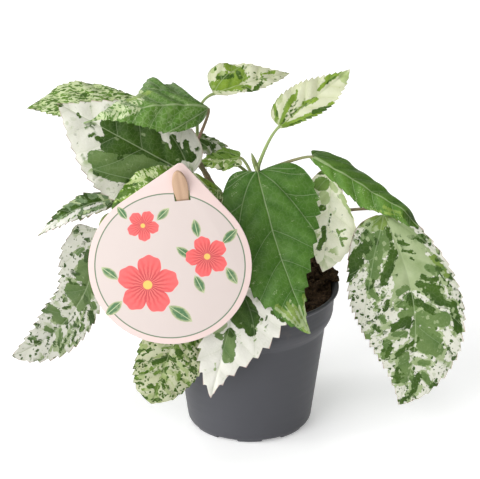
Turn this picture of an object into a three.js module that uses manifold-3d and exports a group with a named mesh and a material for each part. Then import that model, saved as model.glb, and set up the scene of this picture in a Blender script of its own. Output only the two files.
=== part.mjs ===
// A small variegated hibiscus shrub in a round nursery pot, with a drop-shaped plain card on a wooden stick.
// Millimetres, +Z up. The origin is the centre of the pot's flat underside. The plant's front is towards -Y.
import * as THREE from "three";
import { mergeVertices } from "three/addons/utils/BufferGeometryUtils.js";
import Module from "manifold-3d";

const wasm = await Module();
wasm.setup();

// The clear space between pieces that touch on the real plant, and the finest detail that a solid keeps
const GAP = 0.3;
const FINEST = 0.01;

// Driving dimensions of the pot and of the soil in it
const POT = {
  height: 100, lipRadius: 60, lipHeight: 2, collarRadius: 57.2, collarHeight: 27.5,
  footRadius: 40, standRadius: 37, footBevel: 1.2, taper: 0.137, wall: 1.6, floor: 4.5, sides: 40,
};
const STEP = { out: 3.6, rise: 5.6, height: 9.6, draft: 1 };
const NOTCH = { count: 8, width: 15, depth: 8, height: 3 };
const SOIL = { level: 93, clear: 0.4, shoulder: 5, sides: 30, rings: [52, 44, 34, 23, 12, 4], lump: 1.6 };
const SOIL_HEAP = { x: 38, y: 18, height: 13, spread: 14 };

// Driving dimensions of the stems
const TRUNK_FOOT = [2, 0, 88];
const TRUNK_BEND = [2.6, 0.4, 106];
const FORK = [2, 0, 127];
const TRUNK = { radius: 3.1, flare: 2.6, fade: 7, steps: 6, sides: 10 };
const BOUGH = { footRadius: 2.3, tipRadius: 1.5, steps: 6, sides: 8 };
const BUD = { bough: "centre", tip: [1, -15, 201.3], radius: 1.7, steps: 5 };

// Driving dimensions of the leaves and their stalks
const LEAF_THICKNESS = 1.2;
const LEAF_SLENDERNESS = 90;
const LOBE_AT = 0.09;
const TOOTH = { pitch: 14, depth: 1.7, crest: 0.8, fewest: 5 };
const ACROSS = [-1, -0.55, 0, 0.55, 1];
const STALK = { radius: 1.25, taper: 0.45, steps: 10, sides: 5, under: [0.06, 0.15], sink: 0.5 };

// Driving dimensions of the card and its stick
const CARD = { radius: 52.5, apex: 70, apexRadius: 4, thickness: 1, centre: [-51.4, -78, 148.8], lean: 8, turn: -6.2 };
const STICK = { foot: [-28, -33, 84], top: [-46.2, -78.5, 215], width: 10, thickness: 2 };

// Each material: its colour and roughness
const MATERIALS = {
  pot: [0x4b4c51, 0.62],
  soil: [0x2b1d15, 1.0],
  bark: [0x6b5a37, 0.8],
  green: [0x3f7a35, 0.45],
  mixed: [0x9bb07a, 0.5],
  cream: [0xd9ddcb, 0.55],
  card: [0xf0d8cf, 0.7],
  wood: [0xc99a6b, 0.75],
};

// The boughs: each is one limb from the fork through a bend to its tip.
const BOUGHS = {
  centre: [FORK, [5, -9, 160], [5, -14, 190]],
  left: [FORK, [-16, -14, 162], [-37, -18, 203]],
  right: [FORK, [28, 6, 144], [56, 9, 149]],
  back: [FORK, [6, 20, 146], [8, 34, 162]],
  far_left: [FORK, [-32, 6, 137], [-62, 4, 148]],
};

// Each leaf: the bough and the place on it that its stalk leaves, its base and tip, and the way its upper side faces.
// Pairs give the right side and the left side, seen with the tip up: half width, widest place and taper.
// The midrib bows up and sways aside, the two halves fold and curl, and the handle is how far the stalk bends.
const PLAIN_LEAF = {
  half: [22, 22], widest: [0.34, 0.34], taper: [1.2, 1.2], heart: 8, handle: 0.35,
  bow: 0, bowAt: 0.5, sway: 0, fold: 8, curl: -14, ruffle: 0.8,
};
const LEAVES = {
  front: { tone: "green", bough: "centre", from: 0.85, base: [4.6, -24, 193], tip: [39.6, -74, 98.4],
    face: [0.1, -0.85, 0.5], half: [33, 36], widest: [0.45, 0.24], taper: [0.9, 1.8], heart: 8, sway: 3.5, bow: 4 },
  right_hanging: { tone: "mixed", bough: "right", from: 1, base: [88, -14, 158.2], tip: [100.2, -24, 21.4],
    face: [-0.1, -0.9, 0.35], half: [43, 34], widest: [0.41, 0.52], taper: [0.8, 0.75], heart: 9, sway: -16,
    bowAt: 0.56, bow: 3, handle: 0.15 },
  right: { tone: "green", bough: "centre", from: 0.93, base: [41, -14, 197.9], tip: [114, -30, 159.3],
    face: [0.3, -0.6, 0.8], half: [12, 21], widest: [0.5, 0.3], taper: [1.5, 1.3], fold: -25, curl: -10,
    handle: 0.12 },
  right_inner: { tone: "cream", bough: "right", from: 0.8, base: [54.5, -4, 183.4], tip: [48.4, -14, 115],
    face: [0.1, -0.9, 0.3], half: [20, 20], widest: [0.4, 0.6], taper: [1.2, 1], heart: 5 },
  top_right: { tone: "cream", bough: "centre", from: 1, base: [19, -12, 218.4], tip: [65, 0, 254.2],
    face: [0.1, -0.8, 0.6], half: [12, 18.5], widest: [0.55, 0.28], taper: [0.9, 1.2], fold: 14, heart: 3,
    handle: 0.25 },
  top_centre: { tone: "mixed", bough: "left", from: 0.9, base: [-24.1, -5, 238.7], tip: [26.3, 15, 245.7],
    face: [0, -0.6, 0.8], half: [8, 19], widest: [0.5, 0.22], taper: [1, 1.2], fold: 12, bow: 2, heart: 1 },
  top_left: { tone: "green", bough: "left", from: 1, base: [-27.1, -30, 238.1], tip: [-106.4, -45, 233.7],
    face: [0, -0.6, 0.8], half: [29, 18], widest: [0.36, 0.22], taper: [1.7, 1.8], bow: 12, fold: -12,
    handle: 0.1 },
  far_left_top: { tone: "mixed", bough: "left", from: 0.8, base: [-59, 0, 229.8], tip: [-146.4, 5, 224.3],
    face: [0, -0.5, 0.8], half: [15, 14], widest: [0.5, 0.5], bow: 6 },
  left_white: { tone: "cream", bough: "left", from: 0.62, base: [-37.7, -32, 192.1], tip: [-124.6, -25, 240.3],
    face: [0, -0.9, 0.35], half: [31, 39], widest: [0.34, 0.4], taper: [1.2, 1.1], heart: 6 },
  left_narrow: { tone: "mixed", bough: "far_left", from: 1, base: [-88.2, -12, 168], tip: [-140.5, -20, 143.4],
    face: [0, -0.5, 0.85], half: [8, 8.5], bow: 8 },
  behind_card: { tone: "mixed", bough: "left", from: 0.5, base: [-18.9, -30, 179.3], tip: [-89.5, -45, 173.7],
    face: [0, -0.6, 0.8], half: [14, 18], widest: [0.5, 0.5], taper: [0.7, 1], bow: 22 },
  lower_left: { tone: "cream", bough: "far_left", from: 0.88, base: [-98.5, -25, 152.1], tip: [-158.4, -35, 63.3],
    face: [-0.2, -0.9, 0.4], half: [21, 18], widest: [0.28, 0.62], taper: [0.7, 0.7], sway: -17 },
  under_card: { tone: "mixed", bough: "far_left", from: 0.7, base: [-40.5, -50, 113], tip: [-65.1, -50, 35.1],
    face: [0, -0.95, 0.2], half: [19, 17], widest: [0.6, 0.6], taper: [0.5, 0.5] },
  front_white: { tone: "cream", bough: "centre", from: 0.3, base: [-6.5, -58, 126], tip: [-25.6, -70, 49.5],
    face: [0, -0.95, 0.25], half: [18, 36], widest: [0.5, 0.22], taper: [1, 1.5], curl: -8 },
  crown_inner: { tone: "mixed", bough: "centre", from: 0.75, base: [-6.5, 5, 189.5], tip: [-35.5, 0, 187.3],
    face: [0, -0.6, 0.8], half: [9, 8], heart: 3, handle: 0.15 },
  crown_rear: { tone: "mixed", bough: "left", from: 0.72, base: [-36.9, 14, 201.3], tip: [-13.8, 16, 193.4],
    face: [0, -0.6, 0.8], half: [12, 4], heart: 3 },
  back_left_low: { tone: "mixed", bough: "back", from: 0.6, base: [-23, 38, 123], tip: [-63, 80, 45],
    face: [-0.4, 0.6, 0.7] },
  back_left: { tone: "green", bough: "back", from: 0.78, base: [-30, 35, 147], tip: [-80, 80, 112],
    face: [-0.3, 0.4, 0.85] },
  back_centre: { tone: "cream", bough: "back", from: 1, base: [2, 50, 150], tip: [5, 105, 80],
    face: [0, 0.8, 0.6] },
  back_right: { tone: "green", bough: "back", from: 0.95, base: [32, 42, 152], tip: [66, 85, 98],
    face: [0.3, 0.5, 0.8] },
  back_left_high: { tone: "mixed", bough: "back", from: 0.9, base: [-33, 30, 185], tip: [-92, 72, 176],
    face: [0, 0.2, 0.95] },
  back_low: { tone: "mixed", bough: "back", from: 0.4, base: [3, 62, 112], tip: [18, 92, 35],
    face: [0.1, 0.9, 0.4] },
  right_rear: { tone: "mixed", bough: "right", from: 0.93, base: [69, 25, 127], tip: [125, 58, 52],
    face: [0.5, 0.4, 0.8] },
  far_left_rear: { tone: "green", bough: "far_left", from: 0.95, base: [-98, 18, 126], tip: [-128, 58, 48],
    face: [-0.4, 0.5, 0.7] },
  left_rear: { tone: "cream", bough: "far_left", from: 0.8, base: [-67, 22, 135], tip: [-88, 74, 60],
    face: [-0.3, 0.6, 0.7] },
};

const point = (triple) => new THREE.Vector3(...triple);
const radians = THREE.MathUtils.degToRad;

// Skins a row of equal rings and closes both ends flat.
function loft(rings) {
  const count = rings[0].length;
  const last = (rings.length - 1) * count;
  const index = [];
  for (let row = 0; row + 1 < rings.length; row++) {
    for (let i = 0; i < count; i++) {
      const a = row * count + i;
      const b = row * count + (i + 1) % count;
      index.push(a, b, b + count, a, b + count, a + count);
    }
  }
  for (let i = 1; i + 1 < count; i++) {
    index.push(0, i + 1, i, last, last + i, last + i + 1);
  }
  const geometry = new THREE.BufferGeometry();
  geometry.setAttribute("position", new THREE.Float32BufferAttribute(rings.flat().flatMap((p) => p.toArray()), 3));
  geometry.setIndex(index);
  return geometry;
}

// Turns a closed geometry into a solid whose faces point out.
function solid(geometry) {
  geometry.deleteAttribute("normal");
  geometry.deleteAttribute("uv");
  const merged = mergeVertices(geometry, 1e-4);
  const places = merged.attributes.position.array;
  const corner = (i) => new THREE.Vector3().fromArray(places, 3 * i);
  const kept = [];
  let volume = 0;
  for (let i = 0; i < merged.index.count; i += 3) {
    const [a, b, c] = merged.index.array.slice(i, i + 3);
    if (a !== b && b !== c && c !== a) {
      kept.push(a, b, c);
      volume += corner(a).dot(corner(b).cross(corner(c)));
    }
  }
  const triVerts = Uint32Array.from(volume > 0 ? kept : kept.reverse());
  return new wasm.Manifold(new wasm.Mesh({ numProp: 3, vertProperties: Float32Array.from(places), triVerts }));
}

// The largest body of a cut shape.
function largest(shape) {
  return shape.decompose().sort((a, b) => b.volume() - a.volume())[0];
}

// A level ring of points about the Z axis, each at its own height.
function levelRing(sides, radius, heightAt) {
  const ring = [];
  for (let i = 0; i < sides; i++) {
    const x = radius * Math.cos(2 * Math.PI * i / sides);
    const y = radius * Math.sin(2 * Math.PI * i / sides);
    ring.push(new THREE.Vector3(x, y, heightAt(x, y)));
  }
  return ring;
}

// A round limb along a curve, with its own radius at each place.
function limb(curve, radiusAt, steps, sides) {
  const frames = curve.computeFrenetFrames(steps);
  const rings = [];
  for (let row = 0; row <= steps; row++) {
    const centre = curve.getPointAt(row / steps);
    const radius = radiusAt(row / steps);
    const ring = [];
    for (let i = 0; i < sides; i++) {
      const angle = 2 * Math.PI * i / sides;
      ring.push(centre.clone()
        .addScaledVector(frames.normals[row], radius * Math.cos(angle))
        .addScaledVector(frames.binormals[row], radius * Math.sin(angle)));
    }
    rings.push(ring);
  }
  return solid(loft(rings));
}

// The pot's side as radius and height, from `bottom` up to the lip, moved in by `inset`.
const bodyRadius = (z) => POT.footRadius + 1.3 + POT.taper * z;

function potSide(bottom, inset) {
  const collarFoot = POT.height - POT.collarHeight;
  const outline = [
    [bodyRadius(bottom), bottom],
    [bodyRadius(collarFoot), collarFoot],
    [bodyRadius(collarFoot) + STEP.out, collarFoot + STEP.rise],
    [POT.collarRadius - STEP.draft, collarFoot + STEP.height],
    [POT.collarRadius, POT.height - 2 * POT.lipHeight],
  ];
  return outline.map(([radius, z]) => [radius - inset, z]);
}

// The pot: a turned wall with a stepped collar and a lip, and notches round the edge of its foot.
function makePot() {
  const profile = [
    [0, 0], [POT.standRadius, 0], [POT.footRadius, POT.footBevel],
    ...potSide(POT.floor, 0),
    [POT.lipRadius, POT.height - POT.lipHeight], [POT.lipRadius, POT.height], [POT.lipRadius - 2.2, POT.height],
    ...potSide(POT.floor, POT.wall).reverse(),
    [0, POT.floor], [0, 0],
  ];
  const turned = new THREE.LatheGeometry(profile.map(([r, z]) => new THREE.Vector2(r, z)), POT.sides);
  turned.rotateX(Math.PI / 2);
  let pot = solid(turned);
  for (let i = 0; i < NOTCH.count; i++) {
    const notch = new THREE.BoxGeometry(2 * NOTCH.depth, NOTCH.width, 2 * NOTCH.height);
    notch.translate(POT.footRadius, 0, 0);
    notch.rotateZ(2 * Math.PI * (i + 0.5) / NOTCH.count - Math.PI / 2);
    pot = pot.subtract(solid(notch));
  }
  return pot;
}

// The soil: it fills the pot clear of its wall, and its top is lumpy with one heap.
function soilHeight(x, y) {
  const lumps = Math.sin(0.31 * x + 0.9) * Math.cos(0.27 * y - 0.4) + 0.6 * Math.sin(0.53 * y + 0.21 * x);
  const away = Math.hypot(x - SOIL_HEAP.x, y - SOIL_HEAP.y) / SOIL_HEAP.spread;
  return SOIL.level + SOIL.lump * lumps + SOIL_HEAP.height * Math.exp(-away * away);
}

function makeSoil() {
  const inset = POT.wall + SOIL.clear;
  const side = potSide(POT.floor + GAP, inset).slice(0, 4);
  side.push([POT.collarRadius - STEP.draft / 2 - inset, SOIL.level - SOIL.shoulder]);
  const rings = side.map(([radius, z]) => levelRing(SOIL.sides, radius, () => z));
  for (const radius of SOIL.rings) {
    rings.push(levelRing(SOIL.sides, radius, soilHeight));
  }
  return solid(loft(rings));
}

// The trunk, the boughs and the bud at the top. `extra` thickens a limb, which gives the clear space round it.
function makeTrunk(extra) {
  const curve = new THREE.CatmullRomCurve3([TRUNK_FOOT, TRUNK_BEND, FORK].map(point));
  const radiusAt = (u) => TRUNK.radius + extra + TRUNK.flare * Math.exp(-TRUNK.fade * u);
  return limb(curve, radiusAt, TRUNK.steps, TRUNK.sides);
}

const boughCurve = (name) => new THREE.CatmullRomCurve3(BOUGHS[name].map(point));

function makeBough(name, extra) {
  const radiusAt = (u) => THREE.MathUtils.lerp(BOUGH.footRadius, BOUGH.tipRadius, u) + extra;
  const bough = limb(boughCurve(name), radiusAt, BOUGH.steps, BOUGH.sides);
  return name === BUD.bough ? bough.add(makeBud(extra)) : bough;
}

function makeBud(extra) {
  const curve = new THREE.LineCurve3(boughCurve(BUD.bough).getPointAt(0.97), point(BUD.tip));
  return limb(curve, (u) => BUD.radius * Math.sin(Math.PI * (0.3 + 0.65 * u)) + extra, BUD.steps, BOUGH.sides);
}

// The half width of a blade at u as a share of its greatest: round at the foot and drawn out at the tip.
function bladeWidth(leaf, side, u) {
  const widest = leaf.widest[side];
  const taper = leaf.taper[side];
  return (u / widest) ** (taper * widest / (1 - widest)) * ((1 - u) / (1 - widest)) ** taper;
}

function midribOf(leaf) {
  const base = point(leaf.base);
  const chord = point(leaf.tip).sub(base);
  const along = chord.clone().normalize();
  const face = point(leaf.face);
  face.addScaledVector(along, -face.dot(along)).normalize();
  const side = along.clone().cross(face);
  const control = base.clone().addScaledVector(chord, leaf.bowAt)
    .addScaledVector(face, 2 * leaf.bow).addScaledVector(side, 2 * leaf.sway);
  return { curve: new THREE.QuadraticBezierCurve3(base, control, point(leaf.tip)), face };
}

// The ring of points round the blade at u: over its upper side and back along its lower side.
function bladeRing(leaf, midrib, teeth, u) {
  const centre = midrib.curve.getPoint(u);
  const along = midrib.curve.getTangent(u);
  const up = midrib.face.clone();
  up.addScaledVector(along, -up.dot(along)).normalize();
  const out = along.clone().cross(up);
  const widths = [0, 1].map((side) => bladeWidth(leaf, side, u));
  const phase = (u * teeth) % 1;
  const crest = phase < TOOTH.crest ? phase / TOOTH.crest : (1 - phase) / (1 - TOOTH.crest);
  const notch = TOOTH.depth * (1 - crest) * Math.min(1, 6 * u * (1 - u));
  const thickness = Math.max(LEAF_THICKNESS, midrib.curve.getLength() / LEAF_SLENDERNESS);
  const lift = thickness / 2 * Math.min(1, 3 * widths[0], 3 * widths[1]);
  const lobe = (1 - u) * u / LOBE_AT * Math.exp(1 - u / LOBE_AT);
  const fold = radians(leaf.fold);
  const curl = radians(leaf.curl);
  const place = (v, above) => {
    const edge = Math.abs(v);
    const width = widths[v > 0 ? 0 : 1];
    const half = Math.max(0, leaf.half[v > 0 ? 0 : 1] * width - notch);
    const turn = fold + curl * edge;
    const reach = half * (Math.sin(turn) - Math.sin(fold)) / curl;
    const wave = leaf.ruffle * edge * edge * Math.sin(17 * u + 2 * Math.sign(v)) * width;
    const rise = half * (Math.cos(fold) - Math.cos(turn)) / curl + wave + above * Math.cos(turn);
    return centre.clone()
      .addScaledVector(out, Math.sign(v) * (reach - above * Math.sin(turn)))
      .addScaledVector(up, rise)
      .addScaledVector(along, -leaf.heart * lobe * edge * edge);
  };
  return [...ACROSS.map((v) => place(v, lift)), ...ACROSS.map((v) => place(-v, -lift))];
}

function makeBlade(leaf, midrib) {
  const teeth = Math.max(TOOTH.fewest, Math.round(midrib.curve.getLength() / TOOTH.pitch));
  const stations = [0, 0.03];
  for (let k = 0; k < teeth; k++) {
    if (k > 0) {
      stations.push(k / teeth);
    }
    stations.push((k + TOOTH.crest) / teeth);
  }
  stations.push(1);
  return solid(loft(stations.map((u) => bladeRing(leaf, midrib, teeth, u))));
}

// The leaf stalk: from the bough's middle to the blade, then on under it as the midrib.
function makeStalk(leaf, midrib) {
  const bough = boughCurve(leaf.bough);
  const start = bough.getPointAt(leaf.from);
  const base = midrib.curve.getPoint(0);
  const handle = leaf.handle * start.distanceTo(base);
  const straight = base.clone().sub(start).normalize();
  const heading = straight.multiplyScalar(2).add(bough.getTangentAt(leaf.from)).normalize();
  const leave = start.clone().addScaledVector(heading, handle);
  const arrive = base.clone().addScaledVector(midrib.curve.getTangent(0), -handle);
  const stalk = new THREE.CubicBezierCurve3(start, leave, arrive, base);
  const places = stalk.getPoints(4);
  for (const u of STALK.under) {
    places.push(midrib.curve.getPoint(u).addScaledVector(midrib.face, -STALK.sink));
  }
  const curve = new THREE.CatmullRomCurve3(places, false, "centripetal");
  return limb(curve, (u) => STALK.radius * (1 - STALK.taper * u), STALK.steps, STALK.sides);
}

// The stick: a flat bar with a round top.
function makeStick(extra) {
  const foot = point(STICK.foot);
  const run = point(STICK.top).sub(foot);
  const half = STICK.width / 2 + extra;
  const shoulder = run.length() - STICK.width / 2;
  const outline = new THREE.Shape();
  outline.moveTo(-half, -extra);
  outline.lineTo(half, -extra);
  outline.lineTo(half, shoulder);
  outline.absarc(0, shoulder, half, 0, Math.PI, false);
  const depth = STICK.thickness + 2 * extra;
  const bar = new THREE.ExtrudeGeometry(outline, { depth, bevelEnabled: false, curveSegments: 6 });
  bar.translate(0, 0, -depth / 2);
  const up = run.normalize();
  const side = new THREE.Vector3(0, 1, 0).cross(up).normalize();
  bar.applyMatrix4(new THREE.Matrix4().makeBasis(side, up, side.clone().cross(up)).setPosition(foot));
  return solid(bar);
}

// The card: a flat drop, with the slot that the stick passes through.
function makeCard() {
  const lean = Math.asin(CARD.radius / CARD.apex);
  const outline = new THREE.Shape();
  outline.absarc(0, 0, CARD.radius, lean, Math.PI - lean, true);
  const apexCentre = CARD.apex - CARD.apexRadius / Math.sin(lean);
  outline.absarc(0, apexCentre, CARD.apexRadius, Math.PI - lean, lean, true);
  const plate = new THREE.ExtrudeGeometry(outline, { depth: CARD.thickness, bevelEnabled: false, curveSegments: 16 });
  plate.translate(0, 0, -CARD.thickness / 2);
  plate.rotateZ(radians(CARD.turn));
  plate.rotateX(radians(90 - CARD.lean));
  plate.translate(...CARD.centre);
  return solid(plate).subtract(makeStick(GAP));
}

// The whole plant, each piece a named mesh with its own material
const plant = new THREE.Group();
plant.name = "potted_hibiscus";

function add(name, shape, [colour, roughness]) {
  const { vertProperties, triVerts } = shape.simplify(FINEST).getMesh();
  const geometry = new THREE.BufferGeometry();
  geometry.setAttribute("position", new THREE.BufferAttribute(vertProperties, 3));
  geometry.setIndex(new THREE.BufferAttribute(triVerts, 1));
  geometry.computeVertexNormals();
  const material = new THREE.MeshStandardMaterial({ color: colour, roughness, metalness: 0 });
  const mesh = new THREE.Mesh(geometry, material);
  mesh.name = name;
  plant.add(mesh);
}

add("pot", makePot(), MATERIALS.pot);
add("soil", makeSoil().subtract(makeTrunk(GAP)).subtract(makeStick(GAP)), MATERIALS.soil);
add("trunk", makeTrunk(0), MATERIALS.bark);

let limbSpace = makeTrunk(GAP);
for (const name of Object.keys(BOUGHS)) {
  add(`bough_${name}`, largest(makeBough(name, 0).subtract(limbSpace)), MATERIALS.bark);
  limbSpace = limbSpace.add(makeBough(name, GAP));
}

for (const [name, shape] of Object.entries(LEAVES)) {
  const leaf = { ...PLAIN_LEAF, ...shape };
  const midrib = midribOf(leaf);
  const whole = makeBlade(leaf, midrib).add(makeStalk(leaf, midrib)).subtract(limbSpace);
  add(`leaf_${name}`, largest(whole), MATERIALS[leaf.tone]);
}

add("stick", makeStick(0), MATERIALS.wood);
add("card", makeCard(), MATERIALS.card);

export default plant;
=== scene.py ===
"""The looks of a small variegated hibiscus shrub in its nursery pot.

Sizes are in millimetres, and become metres where a mesh is made.
"""
import math

import bmesh
import bpy
import numpy as np
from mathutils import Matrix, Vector


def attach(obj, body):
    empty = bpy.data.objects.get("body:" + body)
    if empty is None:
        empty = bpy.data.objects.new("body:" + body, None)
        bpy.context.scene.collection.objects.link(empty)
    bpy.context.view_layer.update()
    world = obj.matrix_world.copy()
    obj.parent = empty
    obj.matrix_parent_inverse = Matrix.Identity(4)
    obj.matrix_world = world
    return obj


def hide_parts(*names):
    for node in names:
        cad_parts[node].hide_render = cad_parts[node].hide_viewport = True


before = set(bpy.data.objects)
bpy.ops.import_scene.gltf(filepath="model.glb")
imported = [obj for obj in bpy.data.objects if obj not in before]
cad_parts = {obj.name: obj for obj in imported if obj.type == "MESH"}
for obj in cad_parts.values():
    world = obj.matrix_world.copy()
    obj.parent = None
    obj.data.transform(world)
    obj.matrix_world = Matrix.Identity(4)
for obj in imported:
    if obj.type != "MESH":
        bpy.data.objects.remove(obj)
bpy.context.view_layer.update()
MM = 0.001

# The camera, fitted to the pot in the photograph: where it aims, how far off it is, how far it looks down
# and its focal length
PHOTO_SIZE = (480, 479)
AIM = np.array([-6.5, 0.0, 132.7])
FAR = 2000.0
LOOK_DOWN = math.radians(24)
FOCAL_PIXELS = 2995.8
SENSOR = 36.0
CLIP_END = 20

# The studio, in metres and watts: each lamp's place, size and power, the point that they aim at, the light
# of the world and the pale floor, which glows a little
LAMPS = {"key": ((-1.25, -1.6, 1.15), 1.7, 42), "side": ((-2.1, -0.35, 0.7), 0.8, 20),
         "front": ((-0.2, -2.1, 1.4), 0.9, 6), "top": ((-0.1, 0.2, 2.0), 1.4, 14),
         "rear": ((-0.7, 2.2, 1.2), 1.4, 14)}
LAMPS_AIM = (0, 0, 0.13)
WORLD_LIGHT = 0.19
FLOOR = dict(reach=6.0, grey=0.9, roughness=0.85, glow=0.34)

# The pot, the soil and the stems, as the solids have them, but the soil's heap is narrower and breaks up
POT = dict(height=100, lip_radius=60, lip_height=2, lip_width=2.2, collar_radius=57.2, collar_height=27.5,
           foot_radius=40, flare=1.3, stand_radius=37, ring=8, hollow=0.6, bevel=1.2, rounding=1.1,
           taper=0.137, wall=1.6, floor=4.5)
POT_SECTORS = 180
OUTLINE_PITCH = 1.2
# Faint bands that the mould leaves on the pot's outside: how far they stand out, how closely they follow
# each other, and the level above which they run
MOULD_BANDS = ((0.05, 1.9, 72), (0.03, 0.8, 6))
STEP = dict(out=3.6, rise=5.6, height=9.6, draft=1)
NOTCH = dict(count=8, width=15, depth=8, height=3)
# The soil is calm beyond one radius, and has its full lumps within the other
SOIL = dict(level=93, clear=0.4, lump=1.6, calm=57, lumpy=51, sectors=300, rings=62)
SOIL_HEAP = dict(x=47, y=20, height=12, spread=19, scatter=9)
RIM_CLODS = dict(from_to=(4, 66), count=70, away=(53.5, 59), size=(1.3, 3), level=101.8)
CRUMBS = dict(count=900, reach=53, limit=54, tall_before=260, smallest=0.5, spread=2.1)
FIBRES = dict(count=170, reach=50, limit=52, shift=-2, long=(4, 12), radius=(0.12, 0.3))
TRUNK = [(2, 0, 88), (2.6, 0.4, 106), (2, 0, 127)]
FORK = TRUNK[-1]
BOUGHS = {
    "centre": [FORK, (5, -9, 160), (5, -14, 190)],
    "left": [FORK, (-16, -14, 162), (-37, -18, 203)],
    "right": [FORK, (28, 6, 144), (56, 9, 149)],
    "back": [FORK, (6, 20, 146), (8, 34, 162)],
    "far_left": [FORK, (-32, 6, 137), (-62, 4, 148)],
}
TRUNK_RADIUS = 3.1
TRUNK_FLARE = 2.6
BOUGH_RADII = (2.3, 1.5)
BOUGH_END = (0.9, 0.7, 0.35)
STEM_SIDES = 24
# How a bough swells just before each leaf, as (height, width)
JOINT_SWELL = (0.4, 0.03)
JOINT_BEFORE = 0.02
# A leaf's stalk: its radius, how it swells, as (where, height, width), and how it runs on under the blade
STALK_RADIUS = 1.25
STALK_TAPER = 0.4
STALK_SWELLS = ((0, 0.45, 0.05), (0.8, 0.25, 0.04))
STALK_END = 0.3
STALK_STEPS = 26
STALK_UNDER = dict(ends=(0.02, 0.16), steps=6, below=0.75)
# The bud and the two stipules in a leaf's axil, as (turn, length, thickness), and the bud at the top
AXIL_PARTS = ((0.0, 2.6, 0.75), (0.7, 4.2, 0.22), (-0.7, 4.2, 0.22))
TIP_BUD = dict(tip=(1, -15, 201.3), radius=1.7, sheath=0.55)
LOBE_AT = 0.09
GAP = 0.3

# The card and its stick
CARD = dict(radius=52.5, apex=70, apex_radius=4, thickness=1, bevel=0.3, centre=(-51.4, -78, 148.8),
            lean=8, turn=-6.2)
STICK = dict(foot=(-28, -33, 84), top=(-46.2, -78.5, 215), width=10, thickness=2, bevel=0.5)
STICK_CROWN = 13
STICK_WAIST = 0.8
SLOT_CLEAR = dict(width=2.2, thickness=1.6)

# Colours. A pair is blended by the material's pattern, and a single one is laid over it.
COLOURS = dict(
    plastic=((0.052, 0.053, 0.061), (0.068, 0.069, 0.079)), dust=(0.16, 0.13, 0.1),
    peat=((0.009, 0.0055, 0.0035), (0.088, 0.052, 0.027)), fibre=((0.03, 0.017, 0.009), (0.14, 0.08, 0.04)),
    grit=(0.12, 0.075, 0.045), bark=((0.13, 0.14, 0.055), (0.2, 0.13, 0.075)), cork=(0.36, 0.3, 0.21),
    green_stalk=((0.2, 0.29, 0.08), (0.34, 0.43, 0.16)),
    brown_stalk=((0.1, 0.055, 0.035), (0.25, 0.14, 0.1)),
    vein=((0.38, 0.46, 0.27), (0.44, 0.54, 0.24)), margin=(0.4, 0.2, 0.17), underside=(0.36, 0.42, 0.28),
    wood=((0.4, 0.25, 0.155), (0.55, 0.37, 0.245)), pore=(0.28, 0.15, 0.08),
    paper=((0.6, 0.52, 0.49), (0.7, 0.55, 0.52)), card_back=(0.8, 0.7, 0.65), ring=(0.13, 0.2, 0.12),
    printed_leaf=((0.5, 0.52, 0.3), (0.07, 0.17, 0.07)), printed_rib=(0.45, 0.52, 0.3),
    petal=((0.3, 0.01, 0.02), (0.88, 0.13, 0.13)), ray=(0.93, 0.25, 0.22), petal_gap=(0.45, 0.02, 0.04),
    blossom_eye=(0.8, 0.5, 0.12))

# The tones of the leaves: each has a pair of shades where a leaf is cool and a pair where it is warm. The
# two shades of a pair are blended by random mottling and by painted shade, darker in the creases along the
# veins and lighter on the swells between them
SHADES = {
    "white": (((0.62, 0.62, 0.54), (0.72, 0.71, 0.65)), ((0.54, 0.57, 0.32), (0.66, 0.68, 0.48))),
    "pale": (((0.18, 0.26, 0.1), (0.38, 0.45, 0.26)), ((0.3, 0.4, 0.11), (0.5, 0.57, 0.3))),
    "mid": (((0.06, 0.125, 0.03), (0.145, 0.22, 0.075)), ((0.09, 0.19, 0.015), (0.19, 0.3, 0.05))),
    "deep": (((0.01, 0.036, 0.002), (0.05, 0.108, 0.009)), ((0.02, 0.06, 0.002), (0.07, 0.155, 0.006))),
    "lime": (((0.07, 0.13, 0.012), (0.25, 0.35, 0.09)), ((0.08, 0.175, 0.006), (0.26, 0.39, 0.035))),
    "fleck": (((0.3, 0.38, 0.17), (0.48, 0.55, 0.34)), ((0.4, 0.49, 0.19), (0.62, 0.68, 0.42))),
    "solid": (((0.022, 0.088, 0.006), (0.08, 0.185, 0.03)), ((0.06, 0.15, 0.008), (0.17, 0.29, 0.035))),
}
# The order in which the tones' patches lie on each other
LAYERS = ("fleck", "lime", "pale", "mid", "deep", "white")
# Where a tone falls by chance: the noise that it follows and how far, then its blocks, as their width,
# their height along the blade and a shift, and how far it follows them
CHANCE = {
    "pale": ("broad", 0.9, (9.0, 7.0, 0.5), 0.9),
    "mid": ("drift", 0.9, (6.0, 5.0, 5.5), 0.9),
    "deep": ("drift", 0.6, (4.0, 3.2, 9.5), 0.95),
    "fleck": ("fine", 0.5, (3.6, 1.9, 13.5), 0.9),
}
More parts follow.
